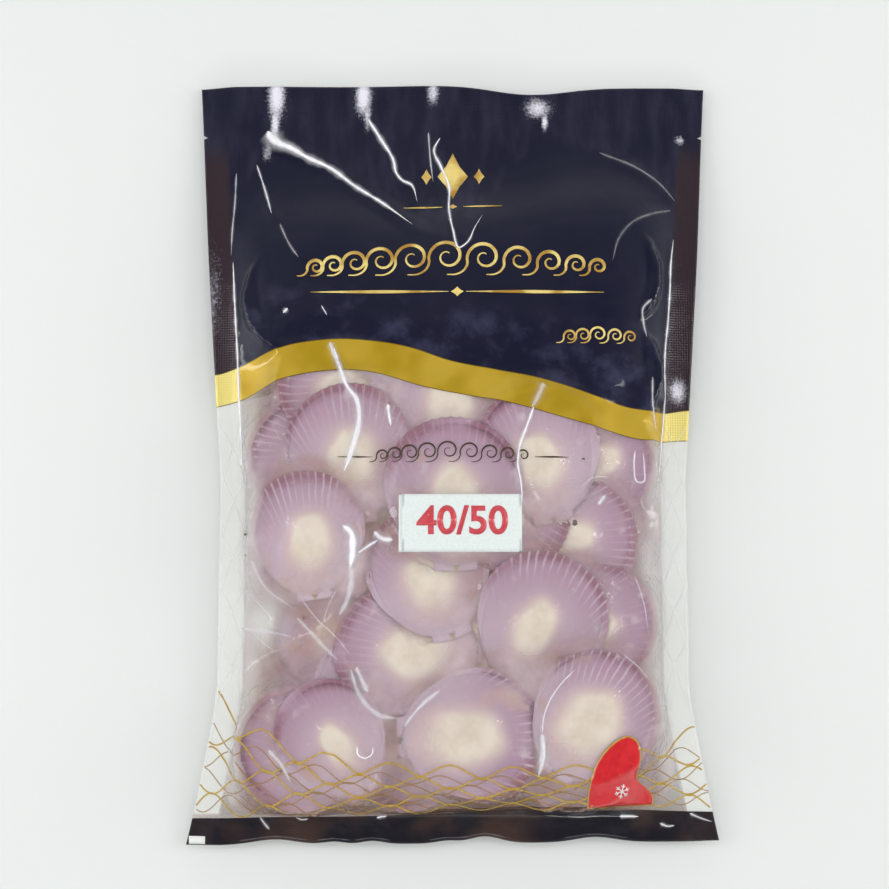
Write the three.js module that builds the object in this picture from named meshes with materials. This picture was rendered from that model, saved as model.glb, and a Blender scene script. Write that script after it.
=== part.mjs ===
// A vacuum-packed pouch of frozen half-shell scallops, lying on its back with the printed front up.
// Millimetres, +Z up, +Y towards the top of the pouch. The origin is on the ground under its middle.
//
// The pouch is one sealed body: front film, back film and the scallops that both films hug. Each
// film is worked out as a taut sheet that is held down in the seals, pulled in by the vacuum and
// stopped by the shells, so the lumps, the flat header and the steep sides all follow from where
// the scallops lie.

import * as THREE from 'three';

// ---- Pouch -------------------------------------------------------------------------------------
const WIDTH = 252; // flat width of the film, at the head and at the foot
const LENGTH = 371; // from the foot seal to the top edge
const SIDE_SEAL = 12.5; // width of each side seal
const TOP_SEAL = 22; // depth of the heat seal along the top
const FOOT_SEAL = 14.5; // depth of the heat seal along the foot
const FILM = 0.8; // both films together, as thick as a solid that is easy to handle needs

// The filled part draws the sides in: the most it draws in on each side, and over which lengths
// from the top and from the foot it comes on.
const PULL_IN = 14.2;
const PULL_FROM_TOP = 200;
const PULL_FROM_FOOT = 75;
const FOOT_FLARE = 1.3; // power of the curve in which the sides come back out to the foot

// Tear notches in both side edges.
const NOTCH_FROM_TOP = 27;
const NOTCH_DEPTH = 2;
const NOTCH_HALF = 1.8;

// Height of the flat double film over the ground beside the scallops, and how far it droops from
// there towards the top edge, the foot and the side edges.
const SEAM_HEIGHT = 16;
const HEAD_DROOP = { depth: 9, over: 105 };
const FOOT_DROOP = { depth: 7, over: 35 };
const EDGE_DROOP = { depth: 2.5, over: 18.5 };

// Ripples across the header. Along the foot the film rises between the bays and sinks in them.
const HEAD_RIPPLE = { height: 1.4, spacing: 21, phase: 0.6 };
const FOOT_RISE = 0.8;

// ---- Contents ----------------------------------------------------------------------------------
const SHELL_WIDTH = 58;
const RIM_REACH = 0.5; // from the middle of the shell to its fan edge, as a share of its width
const HINGE_REACH = 0.62; // from the middle to the hinge
const SHELL_DEPTH = 8.5; // from the rim's plane down to the middle of the dish
const RIM_BAND = 0.94; // the dish starts this far out, as a share of the way to the outline
const MEAT_RISE = 1.4; // the meat stands a little over the rim's plane
const MEAT_REACH = 0.46; // how far out the round meat goes
const MEAT_ROUND = 2.2; // how far its top has fallen there
const FROZEN_FLAT = 1.8; // how far the lowest shells' ice is flattened by the tray it froze on

// The front layer. Middle of the shell, height of its rim, direction that its fan points to in
// degrees, slopes of the rim's plane along X and Y, and width compared with SHELL_WIDTH.
const FRONT_SHELLS = [
  { x: -70, y: 74, z: 30, fan: 120, lean: [0.06, -0.05], scale: 1.0 },
  { x: -24, y: 62, z: 32, fan: 80, lean: [0.02, -0.03], scale: 1.0 },
  { x: 25, y: 72, z: 33, fan: 60, lean: [-0.02, -0.03], scale: 1.05 },
  { x: 70, y: 84, z: 31, fan: 40, lean: [-0.05, -0.07], scale: 1.0 },
  { x: -53, y: 29, z: 31.5, fan: 178, lean: [-0.01, 0.0], scale: 1.0 },
  { x: -1, y: 28, z: 33, fan: 92, lean: [0.0, 0.01], scale: 1.0 },
  { x: 70, y: 36, z: 30, fan: 10, lean: [-0.01, 0.02], scale: 0.98 },
  { x: -68.5, y: -5, z: 31.5, fan: 178, lean: [-0.01, 0.0], scale: 0.97 },
  { x: -50, y: 1, z: 33.5, fan: 98, lean: [0.01, 0.04], scale: 1.03 },
  { x: 40, y: 0, z: 34, fan: 102, lean: [-0.04, 0.08], scale: 1.0 },
  { x: 70, y: -6, z: 30, fan: 20, lean: [-0.01, 0.01], scale: 0.9 },
  { x: 0, y: -18, z: 35, fan: 92, lean: [0.0, 0.03], scale: 1.1 },
  { x: 26, y: -31, z: 34, fan: 320, lean: [0.02, -0.01], scale: 0.95 },
  { x: -68.5, y: -46, z: 28.5, fan: 150, lean: [0.04, 0.02], scale: 0.95 },
  { x: -68, y: -38, z: 35, fan: 97, lean: [0.04, 0.11], scale: 0.92 },
  { x: 58.5, y: -42, z: 33, fan: 3, lean: [0.03, 0.03], scale: 0.97 },
  { x: -12, y: -55, z: 33, fan: 110, lean: [-0.02, 0.05], scale: 1.0 },
  { x: -24, y: -93, z: 32.5, fan: 168, lean: [-0.04, 0.03], scale: 1.05 },
  { x: 41.5, y: -78, z: 34.5, fan: 70, lean: [0.02, 0.1], scale: 1.05 },
  { x: 67, y: -82, z: 33.5, fan: 15, lean: [0.01, 0.03], scale: 0.95 },
  { x: 8, y: -88, z: 32, fan: 95, lean: [0.0, 0.07], scale: 1.0 },
  { x: -38, y: -111, z: 31.5, fan: 60, lean: [-0.1, 0.1], scale: 0.9 },
  { x: 43, y: -106, z: 32, fan: 100, lean: [-0.01, 0.03], scale: 0.9 },
  { x: 66, y: -122, z: 36, fan: 54, lean: [0.0, 0.09], scale: 1.0 },
  { x: 11, y: -132, z: 35.5, fan: 3, lean: [0.06, 0.04], scale: 1.03 },
  { x: -70.5, y: -138.5, z: 32, fan: 170, lean: [0.02, 0.05], scale: 1.0 },
  { x: -57, y: -133, z: 34, fan: 125, lean: [0.01, 0.07], scale: 0.88 },
];

// The lowest layer: rows of shells with their round backs down, each a little off its place. The
// one nearest the middle of the pouch stays on its place.
const BACK_ROWS = 5;
const BACK_COLUMNS = 4;
const BACK_PITCH = [43, 51];
const BACK_MIDDLE = [0, -36];
const BACK_STAGGER = 3; // every other row is shifted by this much to each side
const BACK_SCATTER = 3; // furthest that a shell lies off its place
const BACK_SCALE = 0.95;
const BACK_LIFT = 1.1; // furthest that a shell's lowest point lies above its neighbours'
const BACK_FAN = { first: 40, row: 70, column: 110 }; // directions of the fans, in degrees

// How fast a shell's offsets change from one shell to the next. They share no common measure, so
// that no two shells lie alike.
const UNEVEN = { x: 2.4, y: 3.7, lift: 5.1 };

// ---- Size sticker on the front -----------------------------------------------------------------
const LABEL = { x: 3.5, y: -35.4, z: 38.2, width: 56.5, height: 26.5, thickness: 0.3, bow: 0.5 };
const LABEL_GAP = 0.3; // left under the sticker, so that it doesn't run into the film

// ---- The taut sheet ----------------------------------------------------------------------------
const LATTICE = 2; // spacing of the points at which a film's height is worked out
const SUCTION = 0.06; // curvature that the vacuum gives a film where nothing is under it, per mm
const SWEEPS = 420;
const OVER_RELAX = 1.75;
const SOFTENING = 4; // rounds in which the film's own stiffness rounds off its sharpest bends

const clamp = THREE.MathUtils.clamp;
const smooth = THREE.MathUtils.smoothstep;

const halfWidth = (y) => {
  const fromTop = Math.min(1, (LENGTH / 2 - y) / PULL_FROM_TOP);
  const fromFoot = 1 - Math.max(0, 1 - (y + LENGTH / 2) / PULL_FROM_FOOT) ** FOOT_FLARE;
  return WIDTH / 2 - PULL_IN * fromTop * fromFoot;
};

// The top edge has one dip right of its middle. The foot is cut a little slanted and has buckled,
// which draws its edge up into shallow bays.
const TOP_DIP = { at: 38, spread: 27, depth: 5 };
const TOP_WAVE_DEPTH = 60; // how far down the pouch the shape of the top edge is felt
const CORNER_DROP = 1.6;
const FOOT_SLANT = 2;
const FOOT_BAYS = [
  { at: -84, depth: 2.2, half: 14 },
  { at: -56, depth: 1.1, half: 7 },
  { at: -38, depth: 1.3, half: 7 },
  { at: -3, depth: 1.1, half: 7 },
  { at: 15, depth: 2.8, half: 10 },
  { at: 67, depth: 2.2, half: 13 },
];

const topWave = (x) =>
  -TOP_DIP.depth * Math.exp(-(((x - TOP_DIP.at) / TOP_DIP.spread) ** 2))
  - CORNER_DROP * (x / (WIDTH / 2)) ** 2;
const bays = (x) => FOOT_BAYS.reduce(
  (sum, { at, depth, half }) => sum + depth * Math.exp(-(((x - at) / half) ** 2)),
  0,
);
const footWave = (x) => (FOOT_SLANT / 2) * (1 + x / (WIDTH / 2)) + bays(x);

// Height of the flat double film, as it lies where no scallop lifts it.
function seamHeight(x, y) {
  const head = smooth(y, LENGTH / 2 - HEAD_DROOP.over, LENGTH / 2);
  const foot = smooth(-y, LENGTH / 2 - FOOT_DROOP.over, LENGTH / 2);
  const side = smooth(Math.abs(x), halfWidth(y) - EDGE_DROOP.over, halfWidth(y));
  const droop = HEAD_DROOP.depth * head + FOOT_DROOP.depth * foot + EDGE_DROOP.depth * side;
  const acrossHead = HEAD_RIPPLE.height * Math.sin(x / HEAD_RIPPLE.spacing + HEAD_RIPPLE.phase);
  const acrossFoot = FOOT_RISE * (1 - bays(x));
  return SEAM_HEIGHT - droop + head * acrossHead + foot * acrossFoot;
}

// How far a point is from the middle of a shell: 1 on its outline, less inside it.
function shellReach(shell, x, y) {
  const turn = THREE.MathUtils.degToRad(shell.fan);
  const [dx, dy] = [x - shell.x, y - shell.y];
  const along = dx * Math.cos(turn) + dy * Math.sin(turn);
  const across = dy * Math.cos(turn) - dx * Math.sin(turn);
  const width = SHELL_WIDTH * shell.scale;
  const reach = (along > 0 ? RIM_REACH : HINGE_REACH) * width;
  return Math.hypot(along / reach, across / (width / 2));
}

function frontOf(shell, x, y) {
  const r = shellReach(shell, x, y);
  if (r > 1) return -Infinity;
  const plane = shell.z + shell.lean[0] * (x - shell.x) + shell.lean[1] * (y - shell.y);
  const dish = -SHELL_DEPTH * (1 - Math.min(1, r / RIM_BAND) ** 2);
  const meat = r < MEAT_REACH ? MEAT_RISE - MEAT_ROUND * (r / MEAT_REACH) ** 4 : -Infinity;
  return plane + Math.max(dish, meat);
}

function backShells() {
  const shells = [];
  for (let row = 0; row < BACK_ROWS; row++) {
    for (let column = 0; column < BACK_COLUMNS; column++) {
      const shift = row % 2 ? BACK_STAGGER : -BACK_STAGGER;
      const number = row * BACK_COLUMNS + column;
      const central = row === 2 && column === 2;
      const off = central ? 0 : BACK_SCATTER;
      shells.push({
        x: BACK_MIDDLE[0] + (column - (BACK_COLUMNS - 1) / 2) * BACK_PITCH[0] + shift
          + off * Math.sin(UNEVEN.x * number),
        y: BACK_MIDDLE[1] + (row - (BACK_ROWS - 1) / 2) * BACK_PITCH[1]
          + off * Math.cos(UNEVEN.y * number),
        lift: central ? 0 : (BACK_LIFT / 2) * (1 + Math.sin(UNEVEN.lift * number)),
        fan: BACK_FAN.first + BACK_FAN.row * row + BACK_FAN.column * column,
        scale: BACK_SCALE,
      });
    }
  }
  return shells;
}

const BACK_SHELLS = backShells();

function backOf(shell, x, y) {
  const r = shellReach(shell, x, y);
  return r > 1 ? Infinity : shell.lift + SHELL_DEPTH * r * r - FROZEN_FLAT;
}

function labelPlane(x, y) {
  const [u, v] = [(x - LABEL.x) / (LABEL.width / 2), (y - LABEL.y) / (LABEL.height / 2)];
  return { inside: Math.abs(u) < 1.03 && Math.abs(v) < 1.06, z: LABEL.z - LABEL.bow * u * u };
}

// A lattice of heights over the pouch, with the value between its points read off linearly.
class Lattice {
  constructor(rule) {
    this.columns = Math.ceil(WIDTH / LATTICE) + 5;
    this.rows = Math.ceil(LENGTH / LATTICE) + 5;
    this.values = Float64Array.from({ length: this.columns * this.rows }, (_, k) => {
      const [x, y] = this.place(k);
      return rule(x, y);
    });
  }

  place(k) {
    const column = k % this.columns;
    const row = (k - column) / this.columns;
    return [(column - (this.columns - 1) / 2) * LATTICE, (row - (this.rows - 1) / 2) * LATTICE];
  }

  at(x, y) {
    const column = clamp(x / LATTICE + (this.columns - 1) / 2, 0, this.columns - 1.001);
    const row = clamp(y / LATTICE + (this.rows - 1) / 2, 0, this.rows - 1.001);
    const k = Math.floor(row) * this.columns + Math.floor(column);
    const [s, t] = [column % 1, row % 1];
    const [v, n] = [this.values, this.columns];
    const near = v[k] * (1 - s) + v[k + 1] * s;
    const far = v[k + n] * (1 - s) + v[k + n + 1] * s;
    return near * (1 - t) + far * t;
  }
}

function inPocket(x, y) {
  return Math.abs(x) < halfWidth(y) - SIDE_SEAL
    && y < LENGTH / 2 - TOP_SEAL
    && y > -LENGTH / 2 + FOOT_SEAL;
}

// Lets a film settle between the heights that it can't pass, bent by the vacuum.
function settle(lowest, highest, bend) {
  const film = new Lattice((x, y) => clamp(seamHeight(x, y), lowest(x, y), highest(x, y)));
  const low = new Lattice(lowest).values;
  const high = new Lattice(highest).values;
  const load = (bend * LATTICE * LATTICE) / 4;
  const { values, columns } = film;
  const pocket = [];
  for (let k = 0; k < values.length; k++) {
    if (inPocket(...film.place(k))) pocket.push(k);
  }
  for (let sweep = 0; sweep < SWEEPS; sweep++) {
    for (const k of pocket) {
      const mean = (values[k - 1] + values[k + 1] + values[k - columns] + values[k + columns]) / 4;
      const moved = values[k] + OVER_RELAX * (mean + load - values[k]);
      values[k] = clamp(moved, low[k], high[k]);
    }
  }
  for (let round = 0; round < SOFTENING; round++) {
    for (const k of pocket.filter((k) => low[k] < high[k])) {
      const around = values[k - 1] + values[k + 1] + values[k - columns] + values[k + columns];
      values[k] = values[k] / 2 + around / 8;
    }
  }
  return film;
}

const frontFilm = settle(
  (x, y) => {
    const label = labelPlane(x, y);
    if (label.inside) return label.z;
    const shells = inPocket(x, y) ? FRONT_SHELLS.map((shell) => frontOf(shell, x, y)) : [];
    return Math.max(seamHeight(x, y) + FILM / 2, ...shells);
  },
  (x, y) => (labelPlane(x, y).inside ? labelPlane(x, y).z : Infinity),
  -SUCTION,
);

const backFilm = settle(
  () => 0,
  (x, y) => {
    const shells = inPocket(x, y) ? BACK_SHELLS.map((shell) => backOf(shell, x, y)) : [];
    return Math.max(0, Math.min(seamHeight(x, y) - FILM / 2, ...shells));
  },
  SUCTION,
);

// ---- Pouch mesh --------------------------------------------------------------------------------
// Lines between two places, with a number of even steps: close together where the film is steep.
function bands(start, ...stretches) {
  const lines = [start];
  for (const [end, steps] of stretches) {
    const from = lines[lines.length - 1];
    for (let step = 1; step <= steps; step++) lines.push(from + ((end - from) * step) / steps);
  }
  return lines;
}

// Columns run from -1 to 1 across the pouch, with the side seals' inner creases at CREASE. Rows are
// millimetres along the pouch.
const CREASE = 0.9;
const STEEP_SIDE = 0.075; // how far in from the creases the film is steep
const STEEP_FOOT = 14;
const POCKET_HEAD = 104; // above this the header is gently curved
const COLUMNS = bands(
  -1,
  [-CREASE, 2],
  [-CREASE + STEEP_SIDE, 4],
  [CREASE - STEEP_SIDE, 27],
  [CREASE, 4],
  [1, 2],
);
const NOTCH_Y = LENGTH / 2 - NOTCH_FROM_TOP;
const ROWS = bands(
  -LENGTH / 2,
  [-LENGTH / 2 + FOOT_SEAL, 2],
  [-LENGTH / 2 + FOOT_SEAL + STEEP_FOOT, 5],
  [POCKET_HEAD, 41],
  [NOTCH_Y - NOTCH_HALF, 8],
  [NOTCH_Y, 1],
  [NOTCH_Y + NOTCH_HALF, 1],
  [LENGTH / 2, 3],
);

function onPouch(column, row) {
  const edge = halfWidth(row) - (row === NOTCH_Y ? NOTCH_DEPTH : 0);
  const crease = halfWidth(row) - SIDE_SEAL;
  const past = (Math.abs(column) - CREASE) / (1 - CREASE);
  const x = past < 0
    ? (column / CREASE) * crease
    : Math.sign(column) * (crease + past * (edge - crease));
  const top = smooth(row, LENGTH / 2 - TOP_WAVE_DEPTH, LENGTH / 2) * topWave(x);
  const foot = smooth(-row, LENGTH / 2 - FOOT_SEAL, LENGTH / 2) * footWave(x);
  return [x, row + top + foot];
}

function pouchGeometry() {
  const positions = [];
  const faces = [];
  const width = COLUMNS.length;
  const height = ROWS.length;
  for (const row of ROWS) {
    for (const column of COLUMNS) {
      const [x, y] = onPouch(column, row);
      positions.push(x, y, frontFilm.at(x, y));
    }
  }
  for (const row of ROWS) {
    for (const column of COLUMNS) {
      const [x, y] = onPouch(column, row);
      positions.push(x, y, Math.min(backFilm.at(x, y), frontFilm.at(x, y) - FILM));
    }
  }
  const backStart = width * height;
  const quad = (a, b, c, d) => faces.push(a, b, c, a, c, d);
  for (let row = 0; row < height - 1; row++) {
    for (let column = 0; column < width - 1; column++) {
      const k = row * width + column;
      quad(k, k + 1, k + width + 1, k + width);
      quad(backStart + k, backStart + k + width, backStart + k + width + 1, backStart + k + 1);
    }
  }
  // The rim, once round anticlockwise as seen from the front.
  const rim = [];
  for (let column = 0; column < width - 1; column++) rim.push(column);
  for (let row = 0; row < height - 1; row++) rim.push(row * width + width - 1);
  for (let column = width - 1; column > 0; column--) rim.push((height - 1) * width + column);
  for (let row = height - 1; row > 0; row--) rim.push(row * width);
  rim.forEach((k, n) => {
    const next = rim[(n + 1) % rim.length];
    quad(k, backStart + k, backStart + next, next);
  });
  const geometry = new THREE.BufferGeometry();
  geometry.setAttribute('position', new THREE.Float32BufferAttribute(positions, 3));
  geometry.setIndex(faces);
  geometry.computeVertexNormals();
  return geometry;
}

// ---- Sticker -----------------------------------------------------------------------------------
function stickerGeometry() {
  const geometry = new THREE.BoxGeometry(LABEL.width, LABEL.height, LABEL.thickness, 12, 2, 1);
  const places = geometry.attributes.position;
  for (let k = 0; k < places.count; k++) {
    const u = places.getX(k) / (LABEL.width / 2);
    places.setZ(k, places.getZ(k) - LABEL.bow * u * u);
  }
  geometry.computeVertexNormals();
  return geometry;
}

const pouch = new THREE.Group();

const bag = new THREE.Mesh(
  pouchGeometry(),
  new THREE.MeshStandardMaterial({ color: 0xc3b2be, roughness: 0.3, metalness: 0 }),
);
bag.name = 'bag';
pouch.add(bag);

const label = new THREE.Mesh(
  stickerGeometry(),
  new THREE.MeshStandardMaterial({ color: 0xe4ece8, roughness: 0.6, metalness: 0 }),
);
label.name = 'label';
label.position.set(LABEL.x, LABEL.y, LABEL.z + LABEL_GAP + LABEL.thickness / 2);
pouch.add(label);

export default pouch;
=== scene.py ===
# %% [markdown]
# # A vacuum pack of frozen scallops in the half shell
#
# A printed film pouch lies on its back, and the vacuum in it pulls the film tight over nearly
# seventy frozen scallops. The scallops are made first, because they give the film its shape. The
# film is then let down over them, and the printing, the creases and the sticker come last.

import math
from collections import namedtuple

import bmesh
import bpy
import numpy as np
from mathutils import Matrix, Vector
from mathutils.bvhtree import BVHTree


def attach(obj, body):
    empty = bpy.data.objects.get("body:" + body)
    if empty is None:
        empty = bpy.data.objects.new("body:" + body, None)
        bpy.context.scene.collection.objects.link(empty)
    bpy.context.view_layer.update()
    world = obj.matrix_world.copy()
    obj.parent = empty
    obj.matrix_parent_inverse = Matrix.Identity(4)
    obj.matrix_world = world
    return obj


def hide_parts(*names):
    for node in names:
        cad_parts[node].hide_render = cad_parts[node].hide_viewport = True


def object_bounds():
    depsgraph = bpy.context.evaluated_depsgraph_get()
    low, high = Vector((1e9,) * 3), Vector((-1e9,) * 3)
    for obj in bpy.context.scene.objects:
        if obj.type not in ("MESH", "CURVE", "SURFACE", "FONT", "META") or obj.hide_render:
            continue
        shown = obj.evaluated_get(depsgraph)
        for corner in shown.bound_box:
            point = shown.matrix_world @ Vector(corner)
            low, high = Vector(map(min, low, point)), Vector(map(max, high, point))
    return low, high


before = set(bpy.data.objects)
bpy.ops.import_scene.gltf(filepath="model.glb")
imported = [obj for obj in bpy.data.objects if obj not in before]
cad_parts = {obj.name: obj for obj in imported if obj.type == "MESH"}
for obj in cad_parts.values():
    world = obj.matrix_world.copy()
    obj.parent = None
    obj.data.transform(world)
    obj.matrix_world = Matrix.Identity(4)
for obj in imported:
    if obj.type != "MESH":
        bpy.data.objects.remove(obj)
cad_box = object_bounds()
MM = 0.001  # the scene is in metres, and every size below is in millimetres
print("CAD nodes:", sorted(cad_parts))

# %% [markdown]
# The frame is the plain model that this scene dresses. It gives the size of the pouch and the
# place of the sticker, so both are read from it and not typed in again.

# %% Sizes from the frame
WIDTH, LENGTH = (round((cad_box[1][axis] - cad_box[0][axis]) / MM) for axis in (0, 1))
HEAD, FOOT = LENGTH / 2, -LENGTH / 2

plain_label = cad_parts["label"]
label_corners = np.array([plain_label.matrix_world @ corner.co for corner in plain_label.data.vertices])
low, high = (label_corners.min(0) / MM).round(2), (label_corners.max(0) / MM).round(2)
LABEL_X, LABEL_Y = (low + high)[:2] / 2
LABEL_WIDTH, LABEL_HEIGHT = (high - low)[:2]
LABEL_Z, LABEL_BOW = high[2] - 0.6, 0.5  # plane of the film under it, and how far it is bent
print(f"pouch {WIDTH} x {LENGTH} mm, sticker {LABEL_WIDTH} x {LABEL_HEIGHT} mm, "
      f"its middle at {LABEL_X:.1f}, {LABEL_Y:.1f}")

# %% [markdown]
# ## Camera, floor and lights
#
# A pack on a shelf is seen from the front. Here it lies on its back, so the camera looks down
# on it, from a little over the foot. The light of a shop comes from many soft lamps. Low boxes on
# both sides and a ceiling light everything that is matt. Long thin tubes are seen only in the
# gloss, where they draw bright lines along the folds of the film and leave its flat parts clear.
# The room is pale at its walls and dim overhead, so the flat film mirrors little of it.

# %% Camera
CAMERA_AT = (-4.08, -77.08, 712.36)
CAMERA_AIM = (-4.08, 3.38, 17.0)
SENSOR, LENS = 36.0, 59.06

view = Vector(CAMERA_AIM) - Vector(CAMERA_AT)
camera_data = bpy.data.cameras.new("camera")
camera_data.sensor_width, camera_data.lens = SENSOR, LENS
camera = bpy.data.objects.new("camera", camera_data)
camera.location = Vector(CAMERA_AT) * MM
camera.rotation_euler = view.to_track_quat("-Z", "Y").to_euler()
bpy.context.collection.objects.link(camera)
bpy.context.scene.camera = camera
print(f"camera {view.length:.0f} mm from what it looks at")


# %% A helper for colours and one for nodes
def linear(code):
    """A screen colour such as #C0A02C as the linear colour that the shaders work in."""
    channels = [int(code[k : k + 2], 16) / 255 for k in (1, 3, 5)]
    return (*[c / 12.92 if c <= 0.04045 else ((c + 0.055) / 1.055) ** 2.4 for c in channels], 1)


def add(tree, kind, inputs=None, out=0, **settings):
    """Adds a node with its settings, and returns one of its outputs.

    An input gets a link from another node's output, a value, a colour such as #C0A02C, or the
    name of a number that the mesh keeps on its vertices.
    """
    node = tree.nodes.new("ShaderNode" + kind)
    for name, value in settings.items():
        setattr(node, name, value)
    for name, value in (inputs or {}).items():
        if isinstance(value, str):
            value = (linear(value) if value.startswith("#")
                     else add(tree, "Attribute", out="Fac", attribute_name=value))
        if isinstance(value, bpy.types.NodeSocket):
            tree.links.new(value, node.inputs[name])
        else:
            node.inputs[name].default_value = value
    return node.outputs[out] if node.outputs else None


def new_material(name):
    """An empty material, with its node tree."""
    material = bpy.data.materials.new(name)
    material.use_nodes = True
    material.node_tree.nodes.clear()
    return material, material.node_tree


print("gold ink is", [round(c, 3) for c in linear("#C0A02C")])

# %% Soft light
LIGHTS = [  # name, place, size across and along, power in watts, seen in matt and in gloss
    ("left_box", (-900, 60, 480), (420, 1100), 4.6, True, False),
    ("right_box", (900, 60, 480), (420, 1100), 4.6, True, False),
    ("head_box", (0, 1000, 560), (1300, 260), 1.9, True, False),
    ("foot_box", (-60, -1050, 560), (1300, 260), 2.8, True, False),
    ("left_tube", (-1000, 40, 420), (60, 1700), 2.4, False, True),
    ("right_tube", (1000, 40, 420), (60, 1700), 2.4, False, True),
    ("left_sheen", (-900, 60, 480), (420, 1100), 1.3, False, True),
    ("right_sheen", (900, 60, 480), (420, 1100), 1.3, False, True),
    ("sky_panel", (0, 800, 1000), (1700, 700), 0.4, False, True),
    ("ceiling", (0, -40, 1700), (1600, 1600), 13.8, True, False),
]
for name, place, (across, along), power, on_matt, in_gloss in LIGHTS:
    lamp = bpy.data.lights.new(name, "AREA")
    lamp.shape, lamp.size, lamp.size_y, lamp.energy = "RECTANGLE", across * MM, along * MM, power
    box = bpy.data.objects.new(name, lamp)
    box.location = Vector(place) * MM
    box.rotation_euler = (-Vector(place)).to_track_quat("-Z", "Y").to_euler()
    box.visible_diffuse, box.visible_glossy = on_matt, in_gloss
    bpy.context.collection.objects.link(box)

world = bpy.data.worlds.new("room")
world.use_nodes = True
room = world.node_tree
height = add(room, "SeparateXYZ", {"Vector": add(room, "TexCoord", out="Generated")}, out="Z")
overhead = add(room, "MapRange", {"Value": height, "From Min": 0.05, "From Max": 0.9,
                                  "To Min": 0.72, "To Max": 0.1})
room.links.new(overhead, room.nodes["Background"].inputs["Strength"])
room.nodes["Background"].inputs["Color"].default_value = linear("#F4F6F6")
bpy.context.scene.world = world
bpy.context.scene.view_settings.view_transform = "Standard"
print(len(LIGHTS), "lamps,", sum(light[3] for light in LIGHTS), "W in all")

# %% [markdown]
# The floor is a plain painted board. A paint roller leaves it matt, with a very low grain. It is
# larger than the picture, and it isn't part of the object. Like every piece after it, it is drawn
# in millimetres and made an object by one helper.

# %% A bmesh made an object
def piece_of(name, bm, *finishes):
    """Turns a bmesh in millimetres into a piece in the scene's metres."""
    bmesh.ops.scale(bm, vec=(MM, MM, MM), verts=bm.verts)
    mesh = bpy.data.meshes.new(name)
    bm.to_mesh(mesh)
    bm.free()
    mesh.shade_smooth()
    for finish in finishes:
        mesh.materials.append(finish)
    piece = bpy.data.objects.new(name, mesh)
    bpy.context.collection.objects.link(piece)
    mesh.calc_loop_triangles()
    print(name, len(mesh.loop_triangles), "triangles")
    return piece


# %% Floor
FLOOR_HALF = 1500
ROLLED_GRAINS = 180  # lumps that the paint roller leaves from one side of the board to the other

painted_board, tree = new_material("painted_board_rolled_matt")
grain = add(tree, "TexNoise", {"Scale": ROLLED_GRAINS, "Detail": 3.0})
bump = add(tree, "Bump", {"Height": grain, "Strength": 0.05, "Distance": 0.0004})
paint = add(tree, "BsdfPrincipled", {"Base Color": "#E2E5E3", "Roughness": 0.75, "Normal": bump})
add(tree, "OutputMaterial", {"Surface": paint})

board = bmesh.new()
bmesh.ops.create_grid(board, x_segments=2, y_segments=2, size=FLOOR_HALF)
floor = piece_of("floor", board, painted_board)

# %% [markdown]
# ## Where the scallops lie
#
# The scallops were laid by hand, open side up, so each is a little turned and tilted, and each
# row leans on the one before. The front layer is given one by one: middle of the shell, height
# of its rim, direction of its fan in degrees, slope of the rim to the right and to the head, and
# size compared with a shell of 58 mm. Then come the size of its meat, and how clear its ribs are.
# The lower layers hardly show, so a rule lays them in rows.

# %% The front layer
SHELL_WIDTH, SHELL_DEPTH, WALL = 58, 8.5, 1.3
RIM_REACH, HINGE_REACH = 0.5, 0.62  # from the middle to the fan's edge and to the hinge
RIM_BAND = 0.94  # the dish starts this far out

Scallop = namedtuple("Scallop", "x y rim fan lean size meat ribs")
FRONT = [Scallop(*row) for row in [
    (-70, 74, 30, 120, (0.06, -0.05), 1.0, 1.0, 0.5),
    (-24, 62, 32, 80, (0.02, -0.03), 1.0, 1.0, 0.5),
    (25, 72, 33, 60, (-0.02, -0.03), 1.05, 1.0, 0.5),
    (70, 84, 31, 40, (-0.05, -0.07), 1.0, 1.0, 0.5),
    (-53, 29, 31.5, 178, (-0.01, 0.0), 1.0, 1.0, 0.5),
    (-1, 28, 33, 92, (0.0, 0.01), 1.0, 0.95, 0.25),
    (70, 36, 30, 10, (-0.01, 0.02), 0.98, 0.9, 0.3),
    (-68.5, -5, 31.5, 178, (-0.01, 0.0), 0.97, 0.9, 0.7),
    (-50, 1, 33.5, 98, (0.01, 0.04), 1.03, 0.88, 0.6),
    (40, 0, 34, 102, (-0.04, 0.08), 1.0, 0.84, 0.45),
    (70, -6, 30, 20, (-0.01, 0.01), 0.9, 0.9, 0.2),
    (0, -18, 35, 92, (0.0, 0.03), 1.1, 0.9, 0.25),
    (26, -31, 34, 320, (0.02, -0.01), 0.95, 0.9, 0.3),
    (-68.5, -46, 28.5, 150, (0.04, 0.02), 0.95, 0.9, 0.3),
    (-68, -38, 35, 97, (0.04, 0.11), 0.92, 0.88, 0.9),
    (58.5, -42, 33, 3, (0.03, 0.03), 0.97, 0.78, 1.0),
    (-12, -55, 33, 110, (-0.02, 0.05), 1.0, 0.9, 0.3),
    (-24, -93, 32.5, 168, (-0.04, 0.03), 1.05, 0.95, 0.4),
    (41.5, -78, 34.5, 70, (0.02, 0.1), 1.05, 0.74, 0.9),
    (67, -82, 33.5, 15, (0.01, 0.03), 0.95, 0.86, 0.3),
    (8, -88, 32, 95, (0.0, 0.07), 1.0, 0.9, 0.3),
    (-38, -111, 31.5, 60, (-0.1, 0.1), 0.9, 0.8, 0.1),
    (43, -106, 32, 100, (-0.01, 0.03), 0.9, 1.0, 0.2),
    (66, -122, 36, 54, (0.0, 0.09), 1.0, 1.04, 1.0),
    (11, -132, 35.5, 3, (0.06, 0.04), 1.03, 1.02, 1.0),
    (-70.5, -138.5, 32, 170, (0.02, 0.05), 1.0, 0.9, 0.2),
    (-57, -133, 34, 125, (0.01, 0.07), 0.88, 0.68, 0.15),
]]
print(len(FRONT), "scallops in the front layer")


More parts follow.
